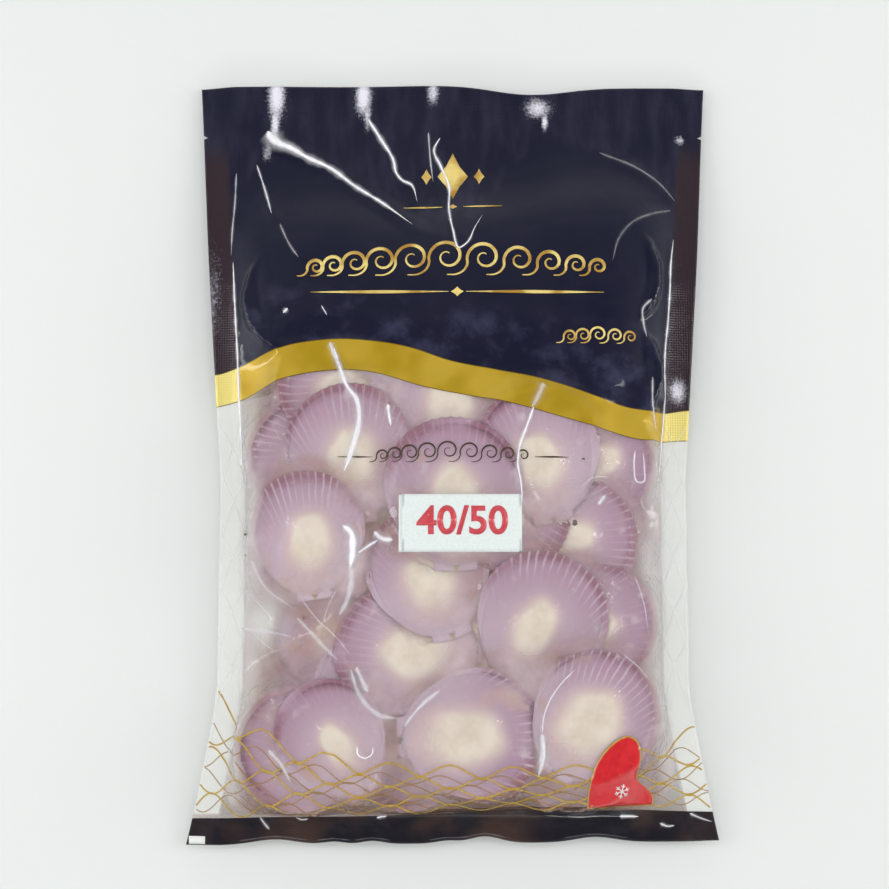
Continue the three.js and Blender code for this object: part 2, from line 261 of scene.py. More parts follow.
# %% The lower layers
def laid_in_rows(rim, rows, columns, pitch, middle, scatter, lift, turn):
    """Rows of scallops, each a little off its place. The rows shift left and right in turn."""
    laid = []
    for row in range(rows):
        for column in range(columns):
            number = row * columns + column
            shift = ROW_SHIFT if row % 2 else -ROW_SHIFT
            x = middle[0] + (column - (columns - 1) / 2) * pitch[0] + shift
            y = middle[1] + (row - (rows - 1) / 2) * pitch[1]
            laid.append(Scallop(
                x + scatter * math.sin(2.4 * number), y + scatter * math.cos(3.7 * number),
                rim + lift * (0.5 + 0.5 * math.sin(5.1 * number)), turn + 70 * row + 110 * column,
                (0.0, 0.0), 0.95, 0.9, 0.5))
    return laid


ROW_SHIFT = 3
ICE_FLAT = 1.8  # how far the lowest shells are iced flat where they lay on the tray
LOWEST_RIM, MIDDLE_RIM = SHELL_DEPTH - ICE_FLAT + WALL, 23.5
BACK = laid_in_rows(LOWEST_RIM, rows=5, columns=4, pitch=(43, 51), middle=(0, -36), scatter=3,
                    lift=1.1, turn=40)
MIDDLE = laid_in_rows(MIDDLE_RIM, rows=5, columns=4, pitch=(41, 52), middle=(1, -34), scatter=3,
                      lift=2.0, turn=75)
print(len(BACK), "in the lowest layer,", len(MIDDLE), "between")


# %% [markdown]
# Two rules of a scallop's shape are used again and again: how far a place is from its middle,
# 1 on the outline, and how low its underside is. A lower scallop stays under the ones that
# overlap it, so no shell cuts through another.

# %% Reach and underside
def local(scallop, x, y):
    """A place seen from the shell: how far along its fan and how far across."""
    turn = math.radians(scallop.fan)
    dx, dy = x - scallop.x, y - scallop.y
    return dx * math.cos(turn) + dy * math.sin(turn), dy * math.cos(turn) - dx * math.sin(turn)


def on_pack(scallop, along, across):
    """The place on the pack that is this far along the shell's fan and this far across it."""
    turn = math.radians(scallop.fan)
    return (scallop.x + along * math.cos(turn) - across * math.sin(turn),
            scallop.y + along * math.sin(turn) + across * math.cos(turn))


def reach_of(scallop, x, y):
    """0 at the middle of the shell and 1 on its outline."""
    along, across = local(scallop, x, y)
    width = SHELL_WIDTH * scallop.size
    return np.hypot(along / (np.where(along > 0, RIM_REACH, HINGE_REACH) * width),
                    across / (width / 2))


PRESSED = 5  # the scallops behind the printed header lie this much lower, so its film is smooth
HEADER_SLANT = 0.12  # the header's edge falls this much for each millimetre to the right


def rim_height(scallop, x, y):
    """Height of the plane of the shell's rim."""
    flat = scallop.rim + scallop.lean[0] * (x - scallop.x) + scallop.lean[1] * (y - scallop.y)
    return flat - PRESSED * np.clip((y + HEADER_SLANT * x - 40) / 30, 0, 1)


def dish(reach):
    """Depth of the shell's inside under its rim."""
    return -SHELL_DEPTH * (1 - np.minimum(1, reach / RIM_BAND) ** 2)


OPEN = 1e3  # a limit that is never met
ICE_GAP = 0.5  # ice between a scallop and the one that lies on it
HOLDS_DOWN = 1.03  # a shell keeps down what lies under it as far out as this reach


def room_under(above, x, y):
    """The height that a lower piece may reach under the scallops above it."""
    limit = np.full(np.shape(x), OPEN)
    for scallop in above:
        reach = reach_of(scallop, x, y)
        under = rim_height(scallop, x, y) + dish(reach) - WALL - ICE_GAP
        limit = np.where(reach < HOLDS_DOWN, np.minimum(limit, under), limit)
    return limit


print(f"a shell is {(RIM_REACH + HINGE_REACH) * SHELL_WIDTH:.0f} mm from hinge to rim")

# %% [markdown]
# ## The shells
#
# A scallop's half shell is a shallow fan dish. About thirty ribs run out from the hinge,
# flat inside the dish and clear at the rim, and two small ears flank the hinge. It starts as a
# grid that is moved into polar places round the hinge, with two or three columns for each rib,
# and gets its wall from solidify. A sphere cut open would be quicker, but its rows of faces
# wouldn't follow the ribs.

# %% The shell's outline
RIBS = 30
FLANK = math.asin(RIM_REACH / HINGE_REACH)  # half the fan's angle, seen from the hinge
EAR_REACH, EAR_BLEND = 0.16, math.radians(9)  # share of the width, and angle that rounds it in


def outline(angle):
    """Distance from the hinge to the outline, as a share of the shell's width."""
    turn = np.abs(angle)
    inside = np.clip(RIM_REACH**2 - (HINGE_REACH * np.sin(turn)) ** 2, 0, None)
    fan = HINGE_REACH * np.cos(turn) + np.sqrt(inside)
    ear = EAR_REACH / np.sin(np.maximum(turn, FLANK))
    step = np.clip((turn - FLANK) / EAR_BLEND, 0, 1)
    flank = math.sqrt(HINGE_REACH**2 - RIM_REACH**2)
    return np.where(turn <= FLANK, fan, flank * (1 - step) + ear * step)


def from_hinge(scallop, x, y):
    """Angle at the hinge, and distance from it as a share of the way to the outline."""
    along, across = local(scallop, x, y)
    width = SHELL_WIDTH * scallop.size
    angle = np.arctan2(across, along + HINGE_REACH * width)
    far = outline(np.clip(angle, -math.pi / 2, math.pi / 2)) * width
    return angle, np.hypot(along + HINGE_REACH * width, across) / far


print(f"fan opens to {2 * math.degrees(FLANK):.0f} degrees")


# %% One shell
def smoothstep(low, high, value):
    """A share that runs smoothly from 0 at low to 1 at high."""
    share = np.clip((value - low) / (high - low), 0, 1)
    return share * share * (3 - 2 * share)


def places(bm):
    """The places of a bmesh's vertices, as rows of three."""
    return np.array([vertex.co for vertex in bm.verts])


def flat_grid(columns, rows):
    """A grid, with the place of its points across it and up it, from -1 to 1."""
    bm = bmesh.new()
    bmesh.ops.create_grid(bm, x_segments=columns, y_segments=rows, size=1)
    across, up = places(bm).T[:2]
    return bm, across, up


def move_to(bm, x, y, z=0.0):
    """Moves each vertex to a new place."""
    for vertex, place in zip(bm.verts, np.column_stack((x, y, z + 0 * x))):
        vertex.co = place


def write(bm, **kept):
    """Keeps numbers on each vertex, under these names, for the materials to read."""
    for name, values in kept.items():
        layer = bm.verts.layers.float.new(name)
        for vertex, value in zip(bm.verts, values + np.zeros(len(bm.verts))):
            vertex[layer] = value


RELIEF, SWELL = 0.11, 0.3  # height of the ribs at the rim, and of the shell's broad waves


def shell_mesh(scallop, above, per_rib, rows, tone, floor_at=None):
    """A half shell at its place, as a bmesh. Its tone, from 0 to 1, makes it unlike the others."""
    ears = 6 * per_rib // 4
    columns = RIBS * per_rib + 2 * ears
    fan_share = RIBS * per_rib / columns
    bm, p, q = flat_grid(columns, rows)
    out = 1 - (1 - (q + 1) / 2) ** 1.25  # 0 at the hinge, 1 at the rim, with finer rows there
    past = np.clip((np.abs(p) - fan_share) / (1 - fan_share), 0, 1)
    angle = -np.sign(p) * (np.minimum(np.abs(p) / fan_share, 1) * FLANK
                           + past * (math.pi / 2 - FLANK))
    turns = RIBS * (angle / FLANK + 1) / 2
    rib = np.cos(2 * math.pi * turns)
    width = SHELL_WIDTH * scallop.size
    wobble = 0.016 * np.sin(2 * angle + 13 * tone) + 0.011 * np.sin(5 * angle + 29 * tone)
    distance = out * outline(angle) * width * (1 + 0.005 * rib * out**6 + wobble * out**3)
    x, y = on_pack(scallop, distance * np.cos(angle) - HINGE_REACH * width, distance * np.sin(angle))
    ribbed = rib * (1 - smoothstep(0.4 * FLANK, 0.8 * FLANK, np.abs(angle)))
    relief = RELIEF * ribbed * smoothstep(0.7, 1.0, out) + SWELL * np.sin(3 * angle + 9 * tone) * out
    z = rim_height(scallop, x, y) + dish(reach_of(scallop, x, y)) + relief
    z = np.minimum(z, room_under(above, x, y))
    if floor_at is not None:
        z = np.maximum(z, floor_at + WALL)
    move_to(bm, x, y, z)
    write(bm, rib=turns, out=out, tone=tone, ribbed=scallop.ribs, outer=0.0)
    bmesh.ops.remove_doubles(bm, verts=bm.verts, dist=0.02)
    made = bmesh.ops.solidify(bm, geom=bm.faces[:], thickness=WALL)["geom"]
    outer = bm.verts.layers.float["outer"]
    for item in made:
        if isinstance(item, bmesh.types.BMVert):
            item[outer] = 1.0
    return bm


test = shell_mesh(FRONT[0], [], 3, 16, 0.3)
print("one shell:", len(test.verts), "vertices,",
      sum(edge.is_boundary for edge in test.edges), "open edges")
test.free()

# %% [markdown]
# ## The meat
#
# The white muscle stands in the dish like a thick coin, a little higher than the rim. Clear
# glaze ice fills the rest of the dish, and the shell's lilac and its ribs show through it. One
# piece does for both, so they melt into each other as on the real thing. It starts as a sphere:
# the upper half becomes the meat and the ice, and the lower half hides just inside the shell's
# wall. Each point also keeps its place in the fan, for the colours.

# %% One meat
MEAT_RISE, MEAT_ROUND, MEAT_REACH = 1.0, 1.7, 0.5
MEAT_LONG, MEAT_WIDE, MEAT_BACK = 0.34, 0.238, 0.14  # half sizes, and set back to the hinge
WHITE_REACH, LILAC_REACH = 0.27, 0.66  # where the white of the muscle begins and ends to fade
ICE_REACH, ICE_LEVEL = 0.95, -1.5


def meat_mesh(scallop, above, around, up, tone, floor_at=None):
    """The meat and the ice of one shell, as a bmesh."""
    bm = bmesh.new()
    bmesh.ops.create_uvsphere(bm, u_segments=around, v_segments=up, radius=1)
    ball = places(bm)
    bearing = np.arctan2(ball[:, 1], ball[:, 0])
    polar = np.arccos(np.clip(ball[:, 2], -1, 1)) / (math.pi / 2)
    reach = ICE_REACH * np.where(polar <= 1, polar, 2 - polar)
    uneven = 1 + 0.06 * np.sin(2 * bearing + 11 * tone) + 0.035 * np.sin(5 * bearing + 23 * tone)
    width = SHELL_WIDTH * scallop.size
    fore, side = np.cos(bearing), np.sin(bearing)
    opened = smoothstep(MEAT_REACH, ICE_REACH, reach)
    plump = scallop.meat * uneven
    coin_fore = MEAT_LONG * (0.92 + 0.16 * tone) * plump * fore - MEAT_BACK
    coin_side = MEAT_WIDE * (1.06 - 0.14 * tone) * plump * side + 0.03 * math.sin(17 * tone)
    dish_fore = np.where(fore > 0, RIM_REACH, HINGE_REACH) * fore * reach
    grown = (1 - opened) * reach / MEAT_REACH
    x, y = on_pack(scallop, width * (coin_fore * grown + dish_fore * opened),
                   width * (coin_side * grown + side * reach / 2 * opened))
    inside = dish(reach_of(scallop, x, y))
    coin = MEAT_RISE - MEAT_ROUND * (np.minimum(reach, MEAT_REACH) / MEAT_REACH) ** 4
    past_meat = smoothstep(MEAT_REACH - 0.04, MEAT_REACH + 0.2, reach)
    ice = np.maximum(ICE_LEVEL, inside + 0.15 - 0.5 * smoothstep(0.91, ICE_REACH, reach))
    top = coin * (1 - past_meat) + ice * past_meat
    z = rim_height(scallop, x, y) + np.where(polar <= 1, top, inside - 0.5)
    ceiling = room_under(above, x, y)
    z = np.minimum(z, np.where(polar <= 1, ceiling, ceiling - 0.5))
    if floor_at is not None:
        z = np.maximum(z, floor_at + np.where(polar <= 1, WALL + 0.2, WALL / 2))
    move_to(bm, x, y, z)
    angle, out = from_hinge(scallop, x, y)
    faded = np.clip((reach - WHITE_REACH) / (LILAC_REACH - WHITE_REACH), 0, 1)
    write(bm, muscle=1 - faded, rib=RIBS * (angle / FLANK + 1) / 2, out=out, tone=tone,
          ribbed=scallop.ribs)
    return bm


test = meat_mesh(FRONT[0], [], 40, 20, 0.3)
print("one meat:", len(test.faces), "faces")
test.free()


# %% Lay all the scallops
def joined(parts):
    """Several bmeshes as one."""
    whole = bmesh.new()
    for part in parts:
        mesh = bpy.data.meshes.new("part")
        part.to_mesh(mesh)
        part.free()
        whole.from_mesh(mesh)
        bpy.data.meshes.remove(mesh)
    return whole


def lay(layer, above, per_rib, rows, around, up, floor_at=None):
    """Shells and meats of one layer, each under the ones that overlap it."""
    shells, meats = [], []
    for number, scallop in enumerate(sorted(layer, key=lambda each: -each.rim)):
        tone = (0.37 + 0.618 * number) % 1.0
        shells.append(shell_mesh(scallop, above, per_rib, rows, tone, floor_at))
        meats.append(meat_mesh(scallop, above, around, up, tone, floor_at))
        above = above + [scallop]
    return joined(shells), joined(meats), above


front_shells, front_meats, over = lay(FRONT, [], per_rib=3, rows=16, around=44, up=24)
middle_shells, middle_meats, over = lay(MIDDLE, over, per_rib=2, rows=9, around=24, up=12)
back_shells, back_meats, over = lay(BACK, over, per_rib=3, rows=11, around=20, up=10, floor_at=0.6)
for name, bm in [("front shells", front_shells), ("front meats", front_meats),
                 ("middle shells", middle_shells), ("back shells", back_shells)]:
    print(name, sum(len(face.verts) - 2 for face in bm.faces), "triangles")

# %% [markdown]
# ## Letting the film down
#
# The film is a taut skin: held in the seals, drawn in by the vacuum, and stopped by the shells.
# A cloth simulation could drape it, but would leave it loose and cost minutes. So the film's
# height is worked out on a fine lattice instead. Each point moves to the mean of its neighbours,
# is pulled on by the vacuum and can't pass the scallops. What it touches is found by dropping a
# ray at each point.

# %% The pouch's outline and its flat film
SIDE_SEAL, TOP_SEAL, FOOT_SEAL = 12.5, 22, 14.5
SIDE_IN, IN_FROM_TOP, IN_FROM_FOOT = 14.2, 200, 75  # how far the filled part draws the sides in
FOOT_BAYS = [(-84, 2.2, 14), (-56, 1.1, 7), (-38, 1.3, 7), (-3, 1.1, 7), (15, 2.8, 10), (67, 2.2, 13)]
LYING = 16  # height of the flat double film beside the scallops
HEAD_FALL, FOOT_FALL, SIDE_FALL = 9, 7, 2.5  # and how much lower it lies at its edges


def half_width(y):
    """Half the pouch's width at each height."""
    from_top = np.minimum(1, (HEAD - y) / IN_FROM_TOP)
    from_foot = 1 - np.maximum(0, 1 - (y - FOOT) / IN_FROM_FOOT) ** 1.3
    return WIDTH / 2 - SIDE_IN * from_top * from_foot


def top_wave(x):
    """How far the top edge is off its line: it sags beside the middle and at its corners."""
    return -5 * np.exp(-(((x - 38) / 27) ** 2)) - 1.6 * (x / (WIDTH / 2)) ** 2


def bays(x):
    """How far the buckled foot is drawn up, from each bay's place, depth and half width."""
    return sum(depth * np.exp(-(((x - at) / half) ** 2)) for at, depth, half in FOOT_BAYS)


def foot_wave(x):
    """How far the foot's edge is off its line."""
    return 1 + x / (WIDTH / 2) + bays(x)


def seam_height(x, y):
    """How high the flat double film lies."""
    head = smoothstep(HEAD - 105, HEAD, y)
    foot = smoothstep(-FOOT - 35, -FOOT, -y)
    side = smoothstep(half_width(y) - SIDE_SEAL - 6, half_width(y), np.abs(x))
    ripple = head * 1.4 * np.sin(x / 21 + 0.6) + foot * 0.8 * (1 - bays(x))
    return LYING - HEAD_FALL * head - FOOT_FALL * foot - SIDE_FALL * side + ripple


print(f"the sides are drawn in to {2 * float(half_width(-60)):.0f} mm")

# %% What the film touches
STEP = 1.2  # of the lattice
GRID_X = np.arange(-130.8, 131, STEP)
GRID_Y = np.arange(-190.8, 191, STEP)
X, Y = np.meshgrid(GRID_X, GRID_Y)


def tree_of(*parts):
    """A search tree over several bmeshes, so that rays find what they hit first."""
    corners, faces = [], []
    for bm in parts:
        bm.verts.index_update()
        start = len(corners)
        corners += [vertex.co[:] for vertex in bm.verts]
        faces += [[start + vertex.index for vertex in face.verts] for face in bm.faces]
    return BVHTree.FromPolygons(corners, faces)


def touched(tree, start, direction, missed):
    """Height of the first surface that a ray from each lattice point meets."""
    heights = np.full(X.shape, missed, float)
    for place in np.ndindex(X.shape):
        hit = tree.ray_cast((X[place], Y[place], start), (0, 0, direction))[0]
        if hit is not None:
            heights[place] = hit.z
    return heights


from_above = touched(
    tree_of(front_shells, front_meats, middle_shells, middle_meats), 100, -1, -50)
from_below = touched(tree_of(back_shells, middle_shells, front_shells), -20, 1, 50)


def spread(grid, rounds=1):
    """The highest value among each point's neighbours, so that no rim slips between points."""
    for again in range(rounds):
        for axis in (0, 1):
            grid = np.maximum(grid, np.maximum(np.roll(grid, 1, axis), np.roll(grid, -1, axis)))
    return grid


pocket = (np.abs(X) < half_width(Y) - SIDE_SEAL) & (Y < HEAD - TOP_SEAL) & (Y > FOOT + FOOT_SEAL)
print(f"scallops reach {from_above.max():.1f} mm, lattice of {X.size} points")

# %% Let both films settle
SUCTION = 0.06  # how sharply the vacuum bends the free film, for each millimetre
SWEEPS, OVER_RELAX = 600, 1.8
FILM_GAP = 0.4  # between the film and what it touches
HEADER_SPAN = 15  # the film of the header bridges the dishes, which are this many points across


def around(grid):
    """Mean of each point's four neighbours."""
    return (np.roll(grid, 1, 0) + np.roll(grid, -1, 0) + np.roll(grid, 1, 1)
            + np.roll(grid, -1, 1)) / 4


def settle(film, low, high, pull, softening):
    """Lets a film come to rest between two limits, in sweeps over every second point."""
    even = np.indices(film.shape).sum(0) % 2 == 0
    load = pull * STEP * STEP / 4
    for sweep in range(SWEEPS):
        for turn in (pocket & even, pocket & ~even):
            moved = film + OVER_RELAX * (around(film) + load - film)
            film = np.where(turn, np.clip(moved, low, high), film)
    for sweep in range(softening):
        film = np.where(pocket & (low < high), (film + around(film)) / 2, film)
    return film


def softened(film, more, rounds):
    """Rounds off the film further where more is above 0."""
    for sweep in range(rounds):
        film = film + np.where(pocket, more, 0) * (around(film) - film)
    return film


seam = seam_height(X, Y)
label_u = (X - LABEL_X) / (LABEL_WIDTH / 2)
on_label = (np.abs(label_u) < 1.02) & (np.abs(Y - LABEL_Y) < LABEL_HEIGHT / 2 * 1.05)
label_plane = LABEL_Z - LABEL_BOW * label_u**2
in_header = smoothstep(36, 62, Y + HEADER_SLANT * X)
filled = -spread(-spread(from_above, HEADER_SPAN), HEADER_SPAN)
from_side = np.maximum(half_width(Y) - SIDE_SEAL - np.abs(X), 0)
padded = np.minimum(spread(filled, 8) + 1.2, seam + 1.4 * from_side)
stops = spread(from_above) * (1 - in_header) + padded * in_header
lowest = np.where(pocket, np.maximum(seam, stops + FILM_GAP), seam)
lowest = np.where(on_label, label_plane, lowest)
front = settle(np.maximum(seam, lowest), lowest, np.where(on_label, label_plane, OPEN),
               -SUCTION, 9)
front = softened(front, in_header, 160)
touching = spread(from_above) + FILM_GAP
short = np.where(pocket & ~on_label, touching - front, 0)
print(f"film raised by {short[in_header > 0.9].max():.1f} mm at most in the header")
front = front + np.maximum(short, 0)
front = softened(front, np.where(on_label, 0, 0.4), 1)
over_film = -spread(-from_below, 3) - FILM_GAP
highest = np.where(pocket, np.minimum(seam, np.maximum(over_film, 0)), seam)
back = settle(np.minimum(seam, highest), np.zeros(X.shape), highest, SUCTION, 5)
clearance = np.clip(front - np.maximum(from_above, back), 0, 40)
for sweep in range(6):
    clearance = (clearance + around(clearance)) / 2
print(f"front film up to {front.max():.1f} mm, back film down to {back.min():.1f} mm")


# %% [markdown]
# The lattice is coarser than the folds, so it is read with a smooth cubic rule. Then the sharp
# folds are laid on: where the film had no room to lie flat it stands up in thin ridges, and
# these catch the light as white lines. Each is a line of places with a height and a width.

# %% Reading the lattice
def read(grid, x, y):
    """The lattice's value at any place, without kinks."""
    s, t = (x - GRID_X[0]) / STEP, (y - GRID_Y[0]) / STEP
    i = np.clip(np.floor(s).astype(int), 1, grid.shape[1] - 3)
    j = np.clip(np.floor(t).astype(int), 1, grid.shape[0] - 3)

    def shares(f):
        return ((-f + 2 * f**2 - f**3) / 2, (2 - 5 * f**2 + 3 * f**3) / 2,
                (f + 4 * f**2 - 3 * f**3) / 2, (-(f**2) + f**3) / 2)

    across, up = shares(s - i), shares(t - j)
    return sum(up[b] * sum(across[a] * grid[j + b - 1, i + a - 1] for a in range(4))
               for b in range(4))


print(f"film over the middle: {float(read(front, np.array(0.0), np.array(0.0))):.1f} mm")

# %% The folds
FOLDS = [  # places, height, half width
    ([(-88, 183), (-88, 164), (-87, 155), (-61, 142), (-35, 123), (-12, 104)], 1.5, 5.0),
    ([(-44, 184), (-43, 168), (-35, 156), (-28, 138), (-21, 133), (-17, 122)], 1.2, 4.0),
    ([(-9, 181), (-6, 158), (-9, 151), (-2, 132), (-1, 113), (4, 97)], 1.2, 4.0),
    ([(42, 178), (46, 165), (50, 158)], 1.0, 4.0),
    ([(-97, 143), (-88, 117), (-74, 93)], 0.9, 4.0),
    ([(-57, 48), (-50, 29), (-44, 16), (-45, 7), (-51, -12)], 1.2, 3.5),
    ([(73, 150), (91, 141), (102, 133), (109, 124)], 0.9, 4.0),
    ([(107, 119), (97, 116), (86, 110), (79, 101), (76, 91)], 0.9, 4.0),
    ([(-107, 92), (-104.5, 52), (-102.5, 15), (-101.5, -14)], 0.8, 2.5),
    ([(107, 104), (104, 64), (101.5, 22), (97.6, -9), (95.9, -22)], 0.8, 2.5),
]


def fold_height(x, y):
    """Height that the folds add at each place."""
    added = np.zeros(x.shape)
    for line, height, half in FOLDS:
        line = np.array(line, float)
        lengths = np.hypot(*np.diff(line, axis=0).T)
        total, start = lengths.sum(), 0.0
        best, where = np.full(x.shape, OPEN), np.zeros(x.shape)
        for (ax, ay), (bx, by), length in zip(line[:-1], line[1:], lengths):
            share = ((x - ax) * (bx - ax) + (y - ay) * (by - ay)) / length**2
            share = np.clip(share, 0, 1)
            distance = np.hypot(x - ax - share * (bx - ax), y - ay - share * (by - ay))
            nearer = distance < best
            best = np.where(nearer, distance, best)
            where = np.where(nearer, (start + share * length) / total, where)
            start += length
        along = np.sin(math.pi * np.clip(0.06 + 0.88 * where, 0, 1)) ** 0.5
        wander = 0.75 + 0.25 * np.sin(9 * where + line[0, 0])
        flank = np.maximum(0, 1.25 - np.sqrt((best / half) ** 2 + 0.0625))
        added = np.maximum(added, height * along * wander * flank)
    return added


print(len(FOLDS), "folds, the highest",
      f"{float(fold_height(X, Y).max()):.1f} mm")

# %% [markdown]
# ## The film
#
# The pouch is two sheets of film that are one in the seals. Each starts as a grid, and the two
# are bridged round their rims. The rows of the grid follow the edges of the printing, from the
# foot seal over the gold wave to the top seal, so that each colour of ink ends on a line of
# edges. A picture of the printing wrapped on the film would be easier, but its edges would blur
# close up. The back sheet is half as fine.

# %% Edges of the printing
GOLD_TOP = [(-126, 38), (-114, 38), (-104, 41), (-91, 45.5), (-72, 50.5), (-56, 52.3), (-39, 51.3),
            (-17, 47), (-1.5, 41.5), (22, 36.8), (36, 34.2), (50, 30.5), (69, 24.5), (84, 19.5),
            (95, 18), (114, 20.4), (126, 20.4)]
GOLD_FOOT = [(-126, 20), (-114, 21.8), (-99.4, 25.5), (-86, 31), (-72, 35.2), (-58, 36.9),
             (-39, 36), (-25, 32.3), (-11, 28.2), (8, 24.5), (31, 20), (55, 13.4), (73.6, 8),
             (88, 4.2), (112, 5.3), (126, 5)]
STRIP_TOP = [(-126, -173), (-96, -173), (-72, -172.5), (-25, -170.7), (31, -168.8), (70, -168),
             (93, -168.4), (126, -170.2)]
NOTCH_AT, NOTCH_DEPTH, NOTCH_HALF = HEAD - 27, 2, 1.8  # the tear notches at both sides


def through(points, x):
    """A smooth line through a few points."""
    px, py = np.array(points, float).T
    slope = np.gradient(py, px)
    k = np.clip(np.searchsorted(px, x) - 1, 0, len(px) - 2)
    width = px[k + 1] - px[k]
    t = np.clip((x - px[k]) / width, 0, 1)
    return ((2 * t**3 - 3 * t**2 + 1) * py[k] + (t**3 - 2 * t**2 + t) * width * slope[k]
            + (3 * t**2 - 2 * t**3) * py[k + 1] + (t**3 - t**2) * width * slope[k + 1])


def key_lines(x):
    """The lines that rows of the film follow, from the foot to the head."""
    flat = np.ones_like(x)
    top = top_wave(x)
    return [FOOT + foot_wave(x), through(STRIP_TOP, x) + 0.5 * np.sin(x / 19), through(GOLD_FOOT, x),
            through(GOLD_TOP, x), (NOTCH_AT - NOTCH_HALF) * flat, NOTCH_AT * flat,
            (NOTCH_AT + NOTCH_HALF) * flat, HEAD - TOP_SEAL + 0.3 * top, HEAD + top]


STRETCHES = [12, 154, 14, 104, 2, 2, 2, 18]  # rows of faces between one line and the next
CREASE = 0.9  # share of the columns that lie between the side seals
FILM_THICK = 0.15  # so the sheets never lie in each other, nor in the floor
print(sum(STRETCHES), "rows of faces")


# %% Lay out a sheet
def on_sheet(p, row):
    """Place of a grid point: p runs from -1 to 1 across, row from the foot to the head."""
    starts = np.concatenate(([0], np.cumsum(STRETCHES)))
    k = np.clip(np.searchsorted(starts, row + 1e-6) - 1, 0, len(STRETCHES) - 1)
    share = (row - starts[k]) / np.array(STRETCHES)[k]
    x = p * WIDTH / 2
    column = np.arange(len(x))
    for again in range(4):  # the width depends on the height and the height on the width
        lines = np.array(key_lines(x))
        y = lines[k, column] * (1 - share) + lines[k + 1, column] * share
        edge = half_width(np.clip(y, FOOT, HEAD))
        notched = edge - NOTCH_DEPTH * (np.abs(y - NOTCH_AT) < 0.1)
        crease = edge - SIDE_SEAL
        past = (np.abs(p) - CREASE) / (1 - CREASE)
        x = np.where(past < 0, p / CREASE * crease,
                     np.sign(p) * (crease + past * (notched - crease)))
    return x, y


# The scuffs are painted highlights: speckled white glints where the folds buckle the seals and the bars'
# tooth catches the light.
SCUFF_GLINTS = [  # where the folds run into the seals: place, half sizes, strength
    (-88, 180, 4.2, 13.5, 1.0), (-88.4, 165, 2.2, 10, 0.9), (-44.7, 180, 4.0, 10, 1.0),
    (-42.5, 170, 1.9, 9, 0.7), (-9.8, 182, 3.0, 7, 0.75), (42.5, 173, 6.8, 5.5, 0.75),
    (45.9, 166, 1.6, 4.6, 0.9), (113, 157, 2.7, 2.7, 0.6), (108.6, 29.4, 4.8, 6.8, 0.75),
    (-117, 76, 5.4, 27, 0.35), (-92, 150, 2.8, 5.8, 0.5),
]
TAUT_TO = [(-126, 90), (-104, 126), (-97, 143), (-90, 157), (-60, 141), (-35, 123), (-15, 107),
           (5, 97), (15, 115), (28, 140), (42, 152), (60, 153), (80, 147), (100, 134), (110, 118),
           (126, 95)]  # up to here the header is stretched over the scallops
GLAZE_BACK, GLAZE_ALONG, GLAZE_ACROSS = 25, 8, 17  # behind a shell's middle, and half sizes
HIDDEN = 24  # a place this near to a higher shell's middle lies under it
# More glaze ice, and film that is crumpled white: place, half sizes, strength, as for the scuffs.
MILKY = [(-91, -50, 8, 22, 0.9), (-36, -118, 10, 17, 0.8), (30, -111, 12, 7, 0.6)]
WHITE = [(-90, -82, 13, 15, 1.0), (92, -52, 6, 16, 0.8), (-96, 20, 5, 14, 0.6), (95, -106, 5, 16, 0.7)]
GAP_SPAN = 20  # the gap under the film is kept as a share of this
INKS = [3, 0, 2, 1, 1, 1, 1, 1]  # of each stretch: black, clear, gold and then navy


def spots(rows, x, y):
    """The strongest of several soft spots, each with its place, half sizes and strength."""
    return np.max([strength * np.exp(-(((x - at_x) / across) ** 2) - ((y - at_y) / along) ** 2)
                   for at_x, at_y, across, along, strength in rows], axis=0)


def glazed(x, y):
    """1 where ice and mantle hide the hinge of a shell that no other covers, 0 away from it."""
    milky = spots(MILKY, x, y)
    for shell in FRONT:
        at_x, at_y = on_pack(shell, -GLAZE_BACK * shell.size, 0)
        if any(over.rim > shell.rim
               and math.hypot(at_x - over.x, at_y - over.y) < HIDDEN * over.size for over in FRONT):
            continue
        along, across = local(shell._replace(x=at_x, y=at_y), x, y)
        milky = np.maximum(milky, np.exp(-((along / GLAZE_ALONG) ** 2) - (across / GLAZE_ACROSS) ** 2))
    return milky


def sealed(x, y):
    """1 in the seals, 0 in the pocket."""
    side, head, foot = (smoothstep(-0.7, 0.7, past) for past in (
        np.abs(x) - (half_width(y) - SIDE_SEAL), y - (HEAD - TOP_SEAL), FOOT + FOOT_SEAL - y))
    return np.maximum(np.maximum(side, head) * (1 - 0.8 * foot), 0.2 * foot)


